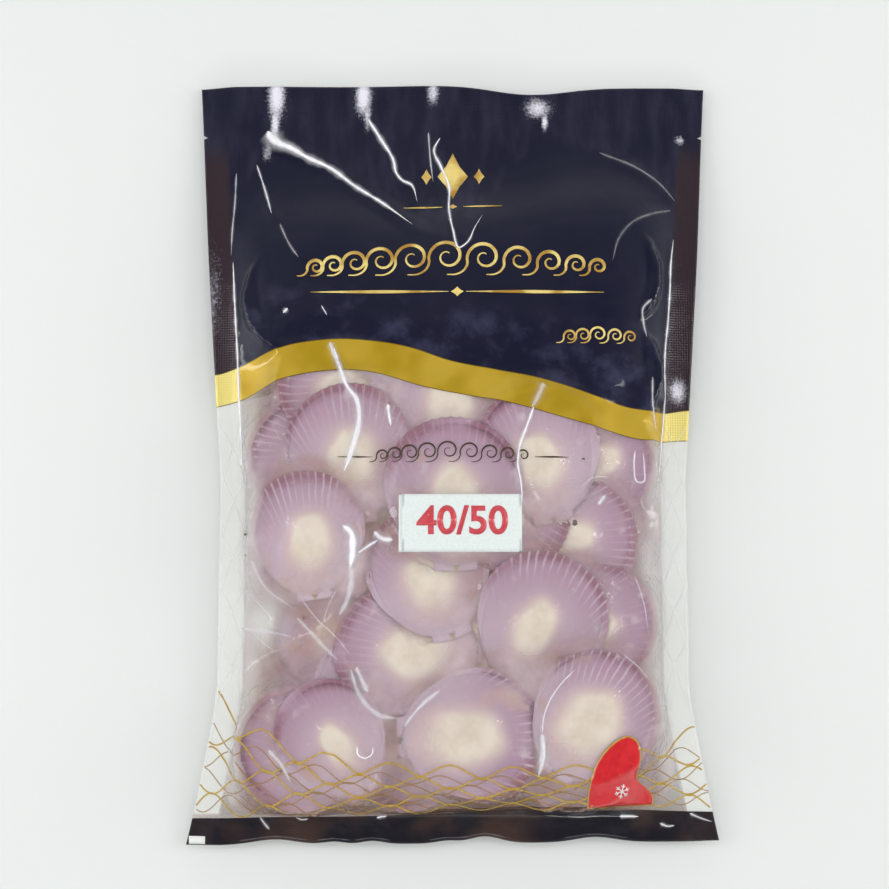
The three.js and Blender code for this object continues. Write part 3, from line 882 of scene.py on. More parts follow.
def sheet(columns, fineness, is_front):
    """One sheet of the film, with what the finishes have to know about each of its points."""
    rows = sum(STRETCHES) // fineness
    bm, p, up = flat_grid(columns // fineness, rows)
    row = np.round((up + 1) / 2 * rows) * fineness
    x, y = on_sheet(p, row)
    off_label = np.maximum(np.abs(x - LABEL_X) - LABEL_WIDTH / 2, np.abs(y - LABEL_Y) - LABEL_HEIGHT / 2)
    top = read(front, x, y) + fold_height(x, y) * (1 - np.interp(off_label, (0, 6), (1, 0)))
    lowered = np.maximum(np.minimum(read(back, x, y), top - FILM_THICK), FILM_THICK)
    move_to(bm, x, y, top + FILM_THICK if is_front else lowered)
    from_seal = half_width(y) - SIDE_SEAL - np.abs(x)
    gap = read(clearance, x, y) / GAP_SPAN
    side = smoothstep(14, 4, from_seal) * smoothstep(0.03, 0.14, gap)
    starts = np.cumsum(STRETCHES)
    # slack marks the header film beyond TAUT_TO, where the navy gets streaks of painted sheen.
    write(bm, gap=np.clip(gap, 0, 1), seal=sealed(x, y),
          plum=smoothstep(-1, 2, -from_seal) * (1 - smoothstep(HEAD - 45, HEAD - 26, y)),
          scuff=spots(SCUFF_GLINTS, x, y),
          slack=smoothstep(-2, 5, y - np.interp(x, *np.array(TAUT_TO, float).T)),
          ice=smoothstep(76, 58, y + HEADER_SLANT * x) * smoothstep(0.9, 0.8, np.abs(p)),
          glaze=glazed(x, y) * (1.0 if is_front else 0.6),
          crumpled=np.maximum(0.65 * side, spots(WHITE, x, y)), low=smoothstep(-154, -169, y),
          band=(row - starts[1]) / (starts[2] - starts[1]))
    row_of = dict(zip(bm.verts, row))
    for face in bm.faces:
        middle = sum(row_of[vertex] for vertex in face.verts) / 4
        face.material_index = INKS[int(np.searchsorted(starts, middle))]
    return bm


front_sheet = sheet(210, 1, True)
back_sheet = sheet(210, 2, False)
bmesh.ops.reverse_faces(back_sheet, faces=back_sheet.faces)
bmesh.ops.subdivide_edges(back_sheet, edges=[e for e in back_sheet.edges if e.is_boundary], cuts=1)
front_sheet_copy = front_sheet.copy()  # the printing is laid on it later
film = joined([front_sheet, back_sheet])
rim_faces = bmesh.ops.bridge_loops(film, edges=[e for e in film.edges if e.is_boundary])["faces"]
print(len(rim_faces), "faces round the rim,", sum(e.is_boundary for e in film.edges), "open edges")

# %% Ink on the rim
for face in rim_faces:
    beside = [f for edge in face.edges for f in edge.link_faces if f not in rim_faces]
    face.material_index = beside[0].material_index if beside else 0
print("clear film on", sum(face.material_index == 0 for face in film.faces), "faces")

# %% [markdown]
# ## Finishes of the scallops
#
# The inside of the shell is calcite, laid down in thin even layers, so it is smooth with a
# dull pearl shine. It is lilac in the dish and mauve towards the rim, where the ribs show as
# pale lines, and the rim itself is wine red in its middle. The outside is rougher and banded.
# Every finish here is a colour under several coats of others. Each coat is laid on by shares
# that are multiplied, as a stencil laid on a stencil, so one helper can do them all.

# %% Coats of colour
def share_of(tree, *parts):
    """Shares multiplied. One given with two limits runs smoothly from 0 to 1 between them."""
    whole = None
    for part in parts:
        if isinstance(part, tuple):
            part = add(tree, "MapRange", dict(zip(("Value", "From Min", "From Max"), part)),
                       interpolation_type="SMOOTHSTEP")
        whole = part if whole is None else add(tree, "Math", {0: whole, 1: part},
                                               operation="MULTIPLY")
    return whole


def painted(tree, colour, *coats):
    """A colour under coats of others. Each coat is a colour and the parts of its share."""
    for coat, *parts in coats:
        colour = add(tree, "Mix", {0: share_of(tree, *parts), 6: colour, 7: coat}, out=2,
                     data_type="RGBA")
    return colour


# %% Shell finish
def shell_inside(tree):
    """Colour of the shell's inside, and the wave that its ribs make across it."""
    place = add(tree, "TexCoord", out="Object")
    bends, fading, wear, cloud = [
        add(tree, "TexNoise", {"Vector": place, "Scale": 1 / (size * MM)})
        for size in (10, 13, 25, 9)]  # lumps of these many millimetres
    bent = add(tree, "Math", {0: bends, 1: 0.5}, operation="SUBTRACT")
    turns = add(tree, "Math", {0: bent, 1: 0.6, 2: "rib"}, operation="MULTIPLY_ADD")
    turns = add(tree, "Math", {0: turns, 1: 2 * math.pi}, operation="MULTIPLY")
    wave = add(tree, "Math", {0: turns}, operation="COSINE")
    off_axis = add(tree, "Math", {0: "rib", 1: RIBS / 2}, operation="SUBTRACT")
    off_axis = add(tree, "Math", {0: off_axis}, operation="ABSOLUTE")
    in_fan = share_of(tree, (off_axis, 0.42 * RIBS, 0.2 * RIBS))
    ribs_start = add(tree, "Math", {0: "tone", 1: -0.16, 2: "out"}, operation="MULTIPLY_ADD")
    mauve = painted(tree, "#BEA7B6", ("#AC8A9F", in_fan))
    colour = painted(
        tree, "#CBB7C0", ("#BCA5B2", "tone"), (mauve, ("out", 0.55, 0.95)),
        ("#86495F", ("out", 0.88, 0.98), (wear, 0.25, 0.5), in_fan),  # the wine red rim
        ("#DAC8D2", (wave, 0.35, 1.0), (fading, 0.2, 0.7), in_fan, "ribbed",
         (ribs_start, 0.6, 0.8), 0.7),  # the pale ribs
        ("#C9B6BF", (cloud, 0.6, 0.8)), ("#B5A07E", ("out", 0.07, 0.03)))  # brown at the hinge
    return colour, wave


shell_calcite, tree = new_material("scallop_shell_calcite_glazed")
inside, wave = shell_inside(tree)
rings = add(tree, "Math", {0: "out", 1: 60.0}, operation="MULTIPLY")
rings = add(tree, "Math", {0: rings}, operation="SINE")
outside = painted(tree, "#8E6A7C", ("#B89BAA", (wave, -0.6, 0.6)), ("#A07C8C", (rings, 0.2, 1.0)))
place = add(tree, "TexCoord", out="Object")
grain = add(tree, "TexNoise", {"Vector": place, "Scale": 1 / (1.4 * MM)})
bump = add(tree, "Bump", {"Height": grain, "Strength": 0.25, "Distance": 0.0003})
pearl = add(tree, "BsdfPrincipled", {
    "Base Color": painted(tree, inside, (outside, "outer")), "Roughness": 0.38, "IOR": 1.56,
    "Coat Weight": 0.3, "Coat Roughness": 0.2, "Normal": bump})
add(tree, "OutputMaterial", {"Surface": pearl})
print("finish:", shell_calcite.name)

# %% [markdown]
# Raw scallop meat is cream white and lets light a little way in, so its edge never looks hard.
# Round it the flesh and the glaze ice take the lilac of the shell behind them.

# %% Meat finish
raw_meat, tree = new_material("scallop_meat_raw_frozen")
place = add(tree, "TexCoord", out="Object")
cloud, strands, stain, grain = [
    add(tree, "TexNoise", {"Vector": place, "Scale": 1 / (size * MM), "Detail": detail})
    for size, detail in ((11, 2.0), (2.5, 4.0), (21, 3.0), (2.2, 4.0))]
cream = painted(tree, "#E4DBCA", ("#D8CBB9", (cloud, 0.35, 0.7)),
                ("#ECE5D8", (strands, 0.3, 0.8), 0.35))
colour = painted(tree, shell_inside(tree)[0], ("#BFA09A", (stain, 0.56, 0.72)),
                 ("#CDB6B5", ("muscle", 0.0, 0.55)), (cream, ("muscle", 0.35, 0.95)))
bump = add(tree, "Bump", {"Height": grain, "Strength": 0.3, "Distance": 0.0005})
flesh = add(tree, "BsdfPrincipled", {
    "Base Color": colour, "Roughness": 0.42, "IOR": 1.4, "Subsurface Weight": 0.25,
    "Subsurface Radius": (0.006, 0.004, 0.003), "Subsurface Scale": 0.5, "Normal": bump})
add(tree, "OutputMaterial", {"Surface": flesh})
print("finish:", raw_meat.name)

# %% [markdown]
# ## Finishes of the film
#
# The pouch is nylon laminated to polyethylene. Where it isn't printed it is clear, with a veil
# of frost behind it that grows with the gap to the scallops. The veil is partly scattering and
# partly see-through, and the gloss of the film lies over both. Its colour is that of what lies
# behind: pale where the film touches, a darker dull rose between the shells that is partly
# painted shade of the deep gaps, and white where the film is crumpled or sealed. Glass would
# bend the light as a thick block does, which a film doesn't, so the gloss is laid over plain
# transparency.

# %% Wrinkles and sealing marks
KNURL = 1.7  # spacing of the sealing bars' tooth


def film_bump(tree, wrinkled):
    """Slack, fine wrinkles where nothing fills the film, and the tooth of the sealing bars."""
    place = add(tree, "TexCoord", out="Object")
    slack = add(tree, "TexNoise", {"Vector": place, "Scale": 1 / (9 * MM), "Detail": 1.0})
    normal = add(tree, "Bump", {"Height": slack, "Strength": 0.2, "Distance": 0.0012})
    if wrinkled:
        ridge = add(tree, "TexNoise", {"Vector": place, "Scale": 1 / (7 * MM)})
        ridge = add(tree, "Math", {0: ridge, 1: 0.5}, operation="SUBTRACT")
        ridge = add(tree, "Math", {0: ridge}, operation="ABSOLUTE")
        wrinkles = share_of(tree, (ridge, 0.05, 0.0), ("gap", 0.0, 0.1))
        normal = add(tree, "Bump", {"Height": wrinkles, "Strength": 0.6, "Distance": 0.0004,
                                    "Normal": normal})
    turned = add(tree, "Mapping", {"Vector": place, "Rotation": (0, 0, math.radians(45)),
                                   "Scale": (2 * math.pi / (KNURL * MM),) * 3})
    waves = [add(tree, "Math", {0: add(tree, "SeparateXYZ", {"Vector": turned}, out=axis)},
                 operation="SINE") for axis in "XY"]
    return add(tree, "Bump", {"Height": share_of(tree, *waves, "seal"), "Strength": 0.25,
                              "Distance": 0.0002, "Normal": normal})


print("sealing bars have a tooth every", KNURL, "mm")

# %% Clear film
FACE_ON = 0.036  # share of the light that the film's outer face reflects, seen face on

clear_film, tree = new_material("nylon_polyethylene_film_clear")
place = add(tree, "TexCoord", out="Object")
patches, cloud = [
    add(tree, "TexNoise", {"Vector": place, "Scale": 1 / (size * MM), "Detail": detail})
    for size, detail in ((16, 3.0), (26, 2.0))]
frost = add(tree, "MapRange", {"Value": "gap", "From Min": 0.02, "From Max": 0.24,
                               "To Min": 0.12, "To Max": 0.45}, interpolation_type="SMOOTHSTEP")
patchy = add(tree, "MapRange", {"Value": patches, "From Min": 0.3, "From Max": 0.7,
                                "To Min": 0.6, "To Max": 1.35})
ice = add(tree, "Math", {0: "glaze", 1: 0.38, 2: frost}, operation="MULTIPLY_ADD")
veil = add(tree, "Math", {0: ice, 1: patchy}, operation="MULTIPLY")
veil = add(tree, "Mix", {0: "crumpled", 2: veil, 3: 0.78})
veil = add(tree, "Mix", {0: "seal", 2: veil, 3: 0.62})
# The dull rose base, darker than the pale colour where the film touches, is partly painted shade in the
# deep gaps.
behind = painted(tree, "#D4BABF", ("#CBABA5", (cloud, 0.4, 0.6)), ("#EADFE6", ("gap", 0.2, 0.03)),
                 ("#E4D2D6", "glaze"), ("#C3A094", "low"), ("#F4F4F0", "crumpled"),
                 ("#FAFBF8", "seal"))
haze = add(tree, "MixShader", {0: 0.3, 1: add(tree, "BsdfDiffuse", {"Color": behind}),
                               2: add(tree, "BsdfTranslucent", {"Color": behind})})
veiled = add(tree, "MixShader", {0: veil, 1: add(tree, "BsdfTransparent"), 2: haze})
normal = film_bump(tree, True)
grazing = add(tree, "LayerWeight", {"Blend": 0.5, "Normal": normal}, out="Facing")
grazing = add(tree, "Math", {0: grazing, 1: 5.0}, operation="POWER")
mirrored = add(tree, "Math", {0: grazing, 1: 1 - FACE_ON, 2: FACE_ON}, operation="MULTIPLY_ADD")
gloss = add(tree, "BsdfGlossy", {"Roughness": 0.1, "Normal": normal})
film_face = add(tree, "MixShader", {0: mirrored, 1: veiled, 2: gloss})
add(tree, "OutputMaterial", {"Surface": film_face})
print("finish:", clear_film.name)

# %% [markdown]
# Ink is printed on the inside of the outer film, so even matt ink has the film's gloss. Over the
# ice the navy looks dulled by frost, in the slack film above the scallops it has paler streaks of
# painted sheen, and in the seals the heat and the tooth of the bars turn it to plum. In the side
# seals the gold is painted paler, as a painted highlight. Near sharp kinks a speckled painted
# highlight turns the ink nearly white. The gold has a dark line on both edges, and the foot strip
# is buckled all along, with paler brown patches of painted sheen on its black.

# %% Printed film
def printed_film(name, inks, seal_tint_and_sheen, roughness, frost_and_sheen=0.0, metal=0.0, edge=None, buckled=0.0):
    """Opaque ink in two uneven tones under the film's gloss."""
    material, tree = new_material(name)
    place = add(tree, "TexCoord", out="Object")
    drawn_out = add(tree, "Mapping", {"Vector": place, "Scale": (1.0, 0.25, 1.0)})
    cloud, frost, streaks, grit, buckles = [
        add(tree, "TexNoise", {"Vector": where, "Scale": 1 / (size * MM), "Detail": detail,
                               "Roughness": rough})
        for where, size, detail, rough in (
            (place, 24, 2.0, 0.5), (place, 14, 6.0, 0.6), (drawn_out, 7, 4.0, 0.5),
            (place, 1.1, 3.0, 0.7), (place, 13, 3.0, 0.5))]
    # The streaks over the slack film are painted sheen.
    ink = painted(tree, inks[0], (inks[1], (cloud, 0.35, 0.65)),
                  ("#35354E", (frost, 0.44, 0.72), "ice", frost_and_sheen),
                  # On the gold the seal tint is a painted highlight.
                  ("#2B293E", (streaks, 0.35, 0.8), "slack", frost_and_sheen), (seal_tint_and_sheen, "plum"))
    if edge:
        off = add(tree, "Math", {0: "band", 1: 0.5}, operation="SUBTRACT")
        off = add(tree, "Math", {0: off}, operation="ABSOLUTE")
        ink = painted(tree, ink, (edge, (off, 0.472, 0.482)))
    # The white speckle near the scuffs is a painted highlight.
    painted_glint_share = add(tree, "Math", {0: grit, 1: 0.9, 2: "scuff"}, operation="MULTIPLY_ADD")
    ink = painted(tree, ink, ("#E9E6F2", (painted_glint_share, 0.62, 1.4)))
    normal = film_bump(tree, False)
    if buckled:
        normal = add(tree, "Bump", {"Height": buckles, "Strength": buckled, "Distance": 0.002,
                                    "Normal": normal})
    body = add(tree, "BsdfPrincipled", {
        "Base Color": ink, "Roughness": roughness, "Metallic": metal, "Specular IOR Level": 0.15,
        "Coat Weight": 0.7, "Coat Roughness": 0.1, "Normal": normal, "Coat Normal": normal})
    add(tree, "OutputMaterial", {"Surface": body})
    print("finish:", name)
    return material


navy_print = printed_film("gravure_ink_navy_under_film", ("#101228", "#15162B"), "#2C2027", 0.45,
                          frost_and_sheen=0.8)
# The paler gold #F0DF84 in the side seals is a painted highlight.
gold_print = printed_film("gravure_ink_gold_under_film", ("#B4931A", "#CAA836"), "#F0DF84", 0.4,
                          metal=0.35, edge="#6E5812")
# The paler brown tone #3D2E2B of the black is painted sheen, for the broad reflections on the strip.
black_print_painted_sheen = printed_film("gravure_ink_black_painted_sheen", ("#1B1A22", "#3D2E2B"), "#2A2226", 0.3,
                           buckled=1.0)

# %% [markdown]
# ## The printing
#
# Each print is a thin layer of ink that follows the film. It is drawn flat, as strips along a
# line or as a filled outline, dropped straight down onto the film, and given a little
# thickness. It lies a tenth of a millimetre above the film, so that it never sinks into it.
# Where inks cross, each is lifted a little more than the one under it.

# %% Drawing tools
INK_LIFT, INK_THICKNESS = 0.14, 0.06
DROP_FROM = 90  # higher than the whole pack
film_top = tree_of(front_sheet_copy)
front_sheet_copy.free()


def smooth_line(points, spacing=1.0):
    """A smooth line through a few places, with points this far apart."""
    points = np.array(points, float)
    run = np.concatenate(([0], np.cumsum(np.hypot(*np.diff(points, axis=0).T))))
    at = np.linspace(0, run[-1], max(4, int(run[-1] / spacing)) + 1)
    return np.column_stack([through(list(zip(run, points[:, k])), at) for k in (0, 1)])


def ribbon(line, half, rows=1):
    """A flat grid along a line of places, given its half width at each of them.

    Also gives which place of the line each point belongs to, and how far across it is.
    """
    line = np.array(line, float)
    run = np.gradient(line, axis=0)
    side = np.column_stack((-run[:, 1], run[:, 0])) / np.hypot(*run.T)[:, None]
    bm, along, across = flat_grid(len(line) - 1, rows)
    k = np.round((along + 1) / 2 * (len(line) - 1)).astype(int)
    move_to(bm, *(line[k] + side[k] * (half[k] * across)[:, None]).T)
    return bm, k, across


def strip(line, width, taper=0.0):
    """A flat strip along a line of places. With a taper its ends are this much thinner."""
    share = np.linspace(-1, 1, len(line))
    return ribbon(line, width / 2 * (1 - taper * np.abs(share) ** 1.5))[0]


def lozenge(x, y, half_wide, half_high, steps=8):
    """A filled lozenge with slightly hollow sides."""
    bm, u, v = flat_grid(steps, steps)
    a, b = (u + v) / 2, (v - u) / 2
    pinch = 1 - 0.25 * np.minimum(np.abs(a), np.abs(b)) / np.maximum(np.abs(a) + np.abs(b), 1e-6)
    move_to(bm, x + a * half_wide * pinch, y + b * half_high * pinch)
    return bm


def straight(start, end, steps=24):
    """Places along a straight line."""
    return np.linspace(start, end, steps + 1)


def put_on(piece, node):
    """The piece rides the pack and replaces a node of the CAD."""
    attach(piece, "root")
    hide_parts(node)


def printed(name, parts, finish, lift=INK_LIFT):
    """Drops flat shapes onto the film and gives them the thickness of ink."""
    bm = joined(parts)
    missed = []
    for vertex in bm.verts:
        above = (vertex.co.x, vertex.co.y, DROP_FROM)
        place, normal = film_top.ray_cast(above, (0, 0, -1))[:2]
        if place is None:
            missed.append(vertex)
        else:
            vertex.co = place + normal * (lift + vertex.co.z)
    bmesh.ops.delete(bm, geom=missed, context="VERTS")
    bm.normal_update()
    bmesh.ops.solidify(bm, geom=bm.faces[:], thickness=INK_THICKNESS)
    put_on(piece_of(name, bm, finish), "bag")


def ink_under_film(name, inks, roughness=0.4, see_through=0.0, patch=3):
    """One gravure ink in two tones, uneven in patches, with the gloss of the film over it."""
    material, tree = new_material(name)
    place = add(tree, "TexCoord", out="Object")
    cloud = add(tree, "TexNoise", {"Vector": place, "Scale": 1 / (patch * MM)})
    body = add(tree, "BsdfPrincipled", {
        "Base Color": painted(tree, inks[0], (inks[1], (cloud, 0.35, 0.65))),
        "Roughness": roughness, "Specular IOR Level": 0.15,
        "Coat Weight": 1.0, "Coat Roughness": 0.1})
    inked = add(tree, "MixShader", {0: see_through, 1: body, 2: add(tree, "BsdfTransparent")})
    add(tree, "OutputMaterial", {"Surface": inked})
    return material


print("ink lies", INK_LIFT, "mm above the film")

# %% [markdown]
# The foot carries a gold fishing net: rows of waves, each the mirror of the one under it, that
# meet in knots. The rows are squeezed together where the film turns down to the foot seal. Thin
# bronze threads run beside the gold ones as their painted shadow, and under the net a dark strip
# swells along the edge of the foot's print. Net inks are printed thin, so they are partly
# see-through.

# %% The net
NET_TOP = [(-124, -106), (-112, -112), (-100, -121), (-86, -130), (-72, -136), (-56, -141),
           (-30, -144.5), (0, -146), (40, -146.5), (67, -143.8), (85.5, -138), (102, -134),
           (124, -126)]
NET_ROWS, KNOT_SPACING, FIRST_KNOT = 5, 28, -15
NET_WIDTH, SHADE_WIDTH, SHADE_SHIFT = 0.75, 0.55, (9.0, 1.2)


def net_place(x, share):
    """Share 0 is the net's top edge and 1 its foot, where the mesh is seen flatter."""
    top, foot = through(NET_TOP, x), through(STRIP_TOP, x) + 1.2
    return top + (foot - top) * share ** 0.85


def net_thread(row, shift=0.0):
    """Height of a thread of the net: arcs between its upper and its lower knots."""
    turn = 2 * math.pi * (net_x - FIRST_KNOT - shift) / KNOT_SPACING + row * math.pi
    arc = 1 - np.abs(np.sin(turn / 2)) ** 1.3 if row == 0 else (1 + np.cos(turn)) / 2
    uneven = 0.06 * np.sin(net_x / 7 + 2.3 * row)
    return net_place(net_x, np.clip((row + arc + uneven) / NET_ROWS, 0, 1))


net_x = np.arange(-121, 121.1, 1.0)
net = [strip(np.column_stack((net_x, net_thread(row))), NET_WIDTH) for row in range(NET_ROWS)]
for row in range(1, NET_ROWS):
    offset = FIRST_KNOT + (row - 1) * KNOT_SPACING / 2
    knots = offset + KNOT_SPACING * np.arange(-5, 6)
    for x in knots[np.abs(knots) < 112]:
        y = float(net_place(np.array([x]), row / NET_ROWS)[0])
        net.append(lozenge(x, y, 2.4, 0.8, 4))
net_ink = ink_under_film("gravure_ink_net_gold", ("#C9A33A", "#D8BA56"), see_through=0.36)
printed("ink_net", net, net_ink)
shade = [strip(np.column_stack((net_x, net_thread(row, SHADE_SHIFT[0]) + SHADE_SHIFT[1])),
               SHADE_WIDTH) for row in range(1, NET_ROWS)]
# The bronze threads are a painted shadow of the gold ones.
net_shadow_ink = ink_under_film("gravure_ink_net_painted_shadow", ("#B0883C", "#BC9048"), see_through=0.62)
printed("ink_net_shade", shade, net_shadow_ink, INK_LIFT - 0.07)
thin_x = np.linspace(-34, 84, 90)
thin = strip(np.column_stack((thin_x, through(STRIP_TOP, thin_x) + 1.5)), 2.6, taper=0.9)
thin_ink = ink_under_film("gravure_ink_black_thin", ("#4A3328", "#5C4032"), see_through=0.5)
printed("ink_strip_edge", [thin], thin_ink, INK_LIFT - 0.03)

# %% [markdown]
# Over the clear side seals runs a second net, in thin white lines that hardly show. Each of its
# meshes is a cross of two bent lines.

# %% The pale net of the side seals
PALE_HALF, PALE_BEND = 13, 3  # half a mesh's height, and how far its lines are bent

pale = []
for side in (-1, 1):
    for first in range(-118, 0, 2 * PALE_HALF):
        for lean in (-1, 1):
            x = np.linspace(0, 1, 15)
            y = (first + PALE_HALF + lean * PALE_HALF * (2 * x - 1)
                 + PALE_BEND * np.sin(math.pi * x))
            outer = half_width(y) - SIDE_SEAL * (0.1 + 0.85 * x)
            pale.append(strip(np.column_stack((side * outer, y)), 0.25))
pale_ink = ink_under_film("gravure_ink_white", ("#E9EAE8", "#EFEFED"))
printed("ink_pale_net", pale, pale_ink)

# %% [markdown]
# A red badge sits on the net at the lower right. It has a round head, a notch at its side and a
# foot that spreads over the turn of the film, with a thin gold line round it and a small snow
# star in white. The gold line is a larger badge that shows round the red one. The star has three
# beams, and each beam has a fork at both of its ends.

# %% The badge
BADGE_LEFT = [(-166, 62.3), (-158, 62.4), (-151, 63.8), (-146, 65.6), (-141, 68.8), (-137, 72.6),
              (-134.4, 76.4), (-133.2, 79.4)]
BADGE_RIGHT = [(-166, 92.8), (-163, 93.2), (-160, 91.6), (-157, 88.6), (-153.5, 84.6), (-150, 84.0),
               (-146, 84.7), (-141, 85.0), (-137, 84.4), (-134.4, 82.4), (-133.2, 79.8)]
BADGE_FOOT, BADGE_TALL, BADGE_MIDDLE = -166, 32.7, -149.6


def badge_shape(grow):
    """The badge between its two sides, larger by so much all round."""
    bm, u, v = flat_grid(14, 26)
    y = BADGE_FOOT + (v + 1) / 2 * BADGE_TALL
    left, right = through(BADGE_LEFT, y), through(BADGE_RIGHT, y)
    middle, half = (left + right) / 2, (right - left) / 2 + grow
    stretch = 1 + grow / 16
    move_to(bm, middle + half * u, (y - BADGE_MIDDLE) * stretch + BADGE_MIDDLE)
    return bm


badge_gold = ink_under_film("gravure_ink_badge_line_gold", ("#C9A548", "#B8923A"))
badge_red = ink_under_film("gravure_ink_red", ("#C71D27", "#D2262E"))
printed("ink_badge_line", [badge_shape(0.55)], badge_gold, INK_LIFT + 0.07)
printed("ink_badge", [badge_shape(0.0)], badge_red, INK_LIFT + 0.14)

STAR_AT, STAR_ARM, STAR_LEAN = np.array((77.6, -158.5)), 3.6, 20
FORK_AT, FORK_LONG, FORK_ANGLE = 0.55, 1.3, 50
star = []


def toward(degrees):
    """A step of one millimetre in a direction."""
    return np.array((math.cos(math.radians(degrees)), math.sin(math.radians(degrees))))


for turn in range(STAR_LEAN, STAR_LEAN + 360, 60):
    arm = STAR_ARM * toward(turn)
    star.append(strip(straight(STAR_AT, STAR_AT + arm, 4), 0.5))
    root = STAR_AT + FORK_AT * arm
    for fork in (-FORK_ANGLE, FORK_ANGLE):
        star.append(strip(straight(root, root + FORK_LONG * toward(turn + fork), 2), 0.4))
printed("ink_star", star, pale_ink, INK_LIFT + 0.22)

# %% [markdown]
# The header carries plain printer's ornaments in gold: lozenges, a row of running waves, and
# under it a swelled rule, which is thick in its middle and runs out thin. Bright gold ink changes
# from brown to pale gold in patches, partly uneven ink and partly painted sheen, as metal foil
# catches the light. A short row in dark brown lies on the clear film.

# %% The ornaments
def swelled_rule(x, y, half_long, thick):
    """Two tapered rules on both sides of a small lozenge."""
    rules = [strip(straight((x + way * thick * 2.6, y), (x + way * half_long, y), 50), thick,
                   taper=0.86) for way in (-1, 1)]
    return [lozenge(x, y, thick * 1.9, thick * 1.5)] + rules


def curl(x, y, size, thick):
    """One curl of a running wave: it sweeps up from the foot of the last one and rolls in."""
    tail = [(x - 2.0 * size, y - 0.95 * size), (x - 1.5 * size, y - 0.93 * size),
            (x - 1.12 * size, y - 0.72 * size)]
    share = np.linspace(0, 1, 22)
    turn = np.radians(202 - 500 * share)  # from the foot, once round and a good third
    radius = size * (1 - 0.8 * share**0.8)
    roll = list(zip(x + radius * np.cos(turn), y + radius * np.sin(turn)))
    return strip(smooth_line(tail + roll, 0.7), thick, taper=0.7)


def running_wave(x, y, sizes, thick):
    """Curls one after the other, their feet on one line, with the middle of the row at x."""
    pitch = 1.85
    at = x - pitch * (sum(sizes) - sizes[0]) / 2
    curls = []
    for size in sizes:
        curls.append(curl(at, y + size, size, thick))
        at += pitch * size
    return curls


def both_rules(near, far, y, steps, thick, taper):
    """Two tapered rules, one on each side of the middle."""
    return [strip(straight((way * near, y), (way * far, y), steps), thick, taper) for way in (-1, 1)]


# Its two tones are partly uneven ink and partly painted sheen.
gold_ink_painted_sheen = ink_under_film("gravure_ink_gold_painted_sheen", ("#AF832B", "#E9D27E"), 0.3, patch=12)
ornament = [lozenge(0, 137, 7.5, 12.5), lozenge(-13, 137, 2.6, 4.2), lozenge(13, 137, 2.6, 4.2)]
ornament += both_rules(5, 24, 120, 20, 0.9, 0.7)
ornament += [lozenge(0, 120, 2.2, 1.4)]
ornament += running_wave(2, 83, [4.6, 5.6, 6.8, 8, 9, 9.6, 9, 8, 6.8, 5.6, 4.6], 1.7)
ornament += swelled_rule(2, 75, 70, 1.6)
ornament += running_wave(70, 50, [3.4, 3.9, 4.4, 3.9, 3.4], 1.1)
printed("ink_ornament", ornament, gold_ink_painted_sheen)

brown_ink = ink_under_film("gravure_ink_brown", ("#3E2E20", "#4A3826"))
rules = running_wave(0, -7, [3.2, 3.8, 4.5, 5.1, 5.5, 5.1, 4.5, 3.8, 3.2], 0.8)
printed("ink_rule", rules + both_rules(38, 54, -4.5, 16, 0.8, 0.8), brown_ink)

EYE_MARK = straight((-127.2, -183.2), (-116.8, -183.2), 8)  # where the packing machine looks
printed("ink_eye_mark", [strip(EYE_MARK, 3.6)], pale_ink)
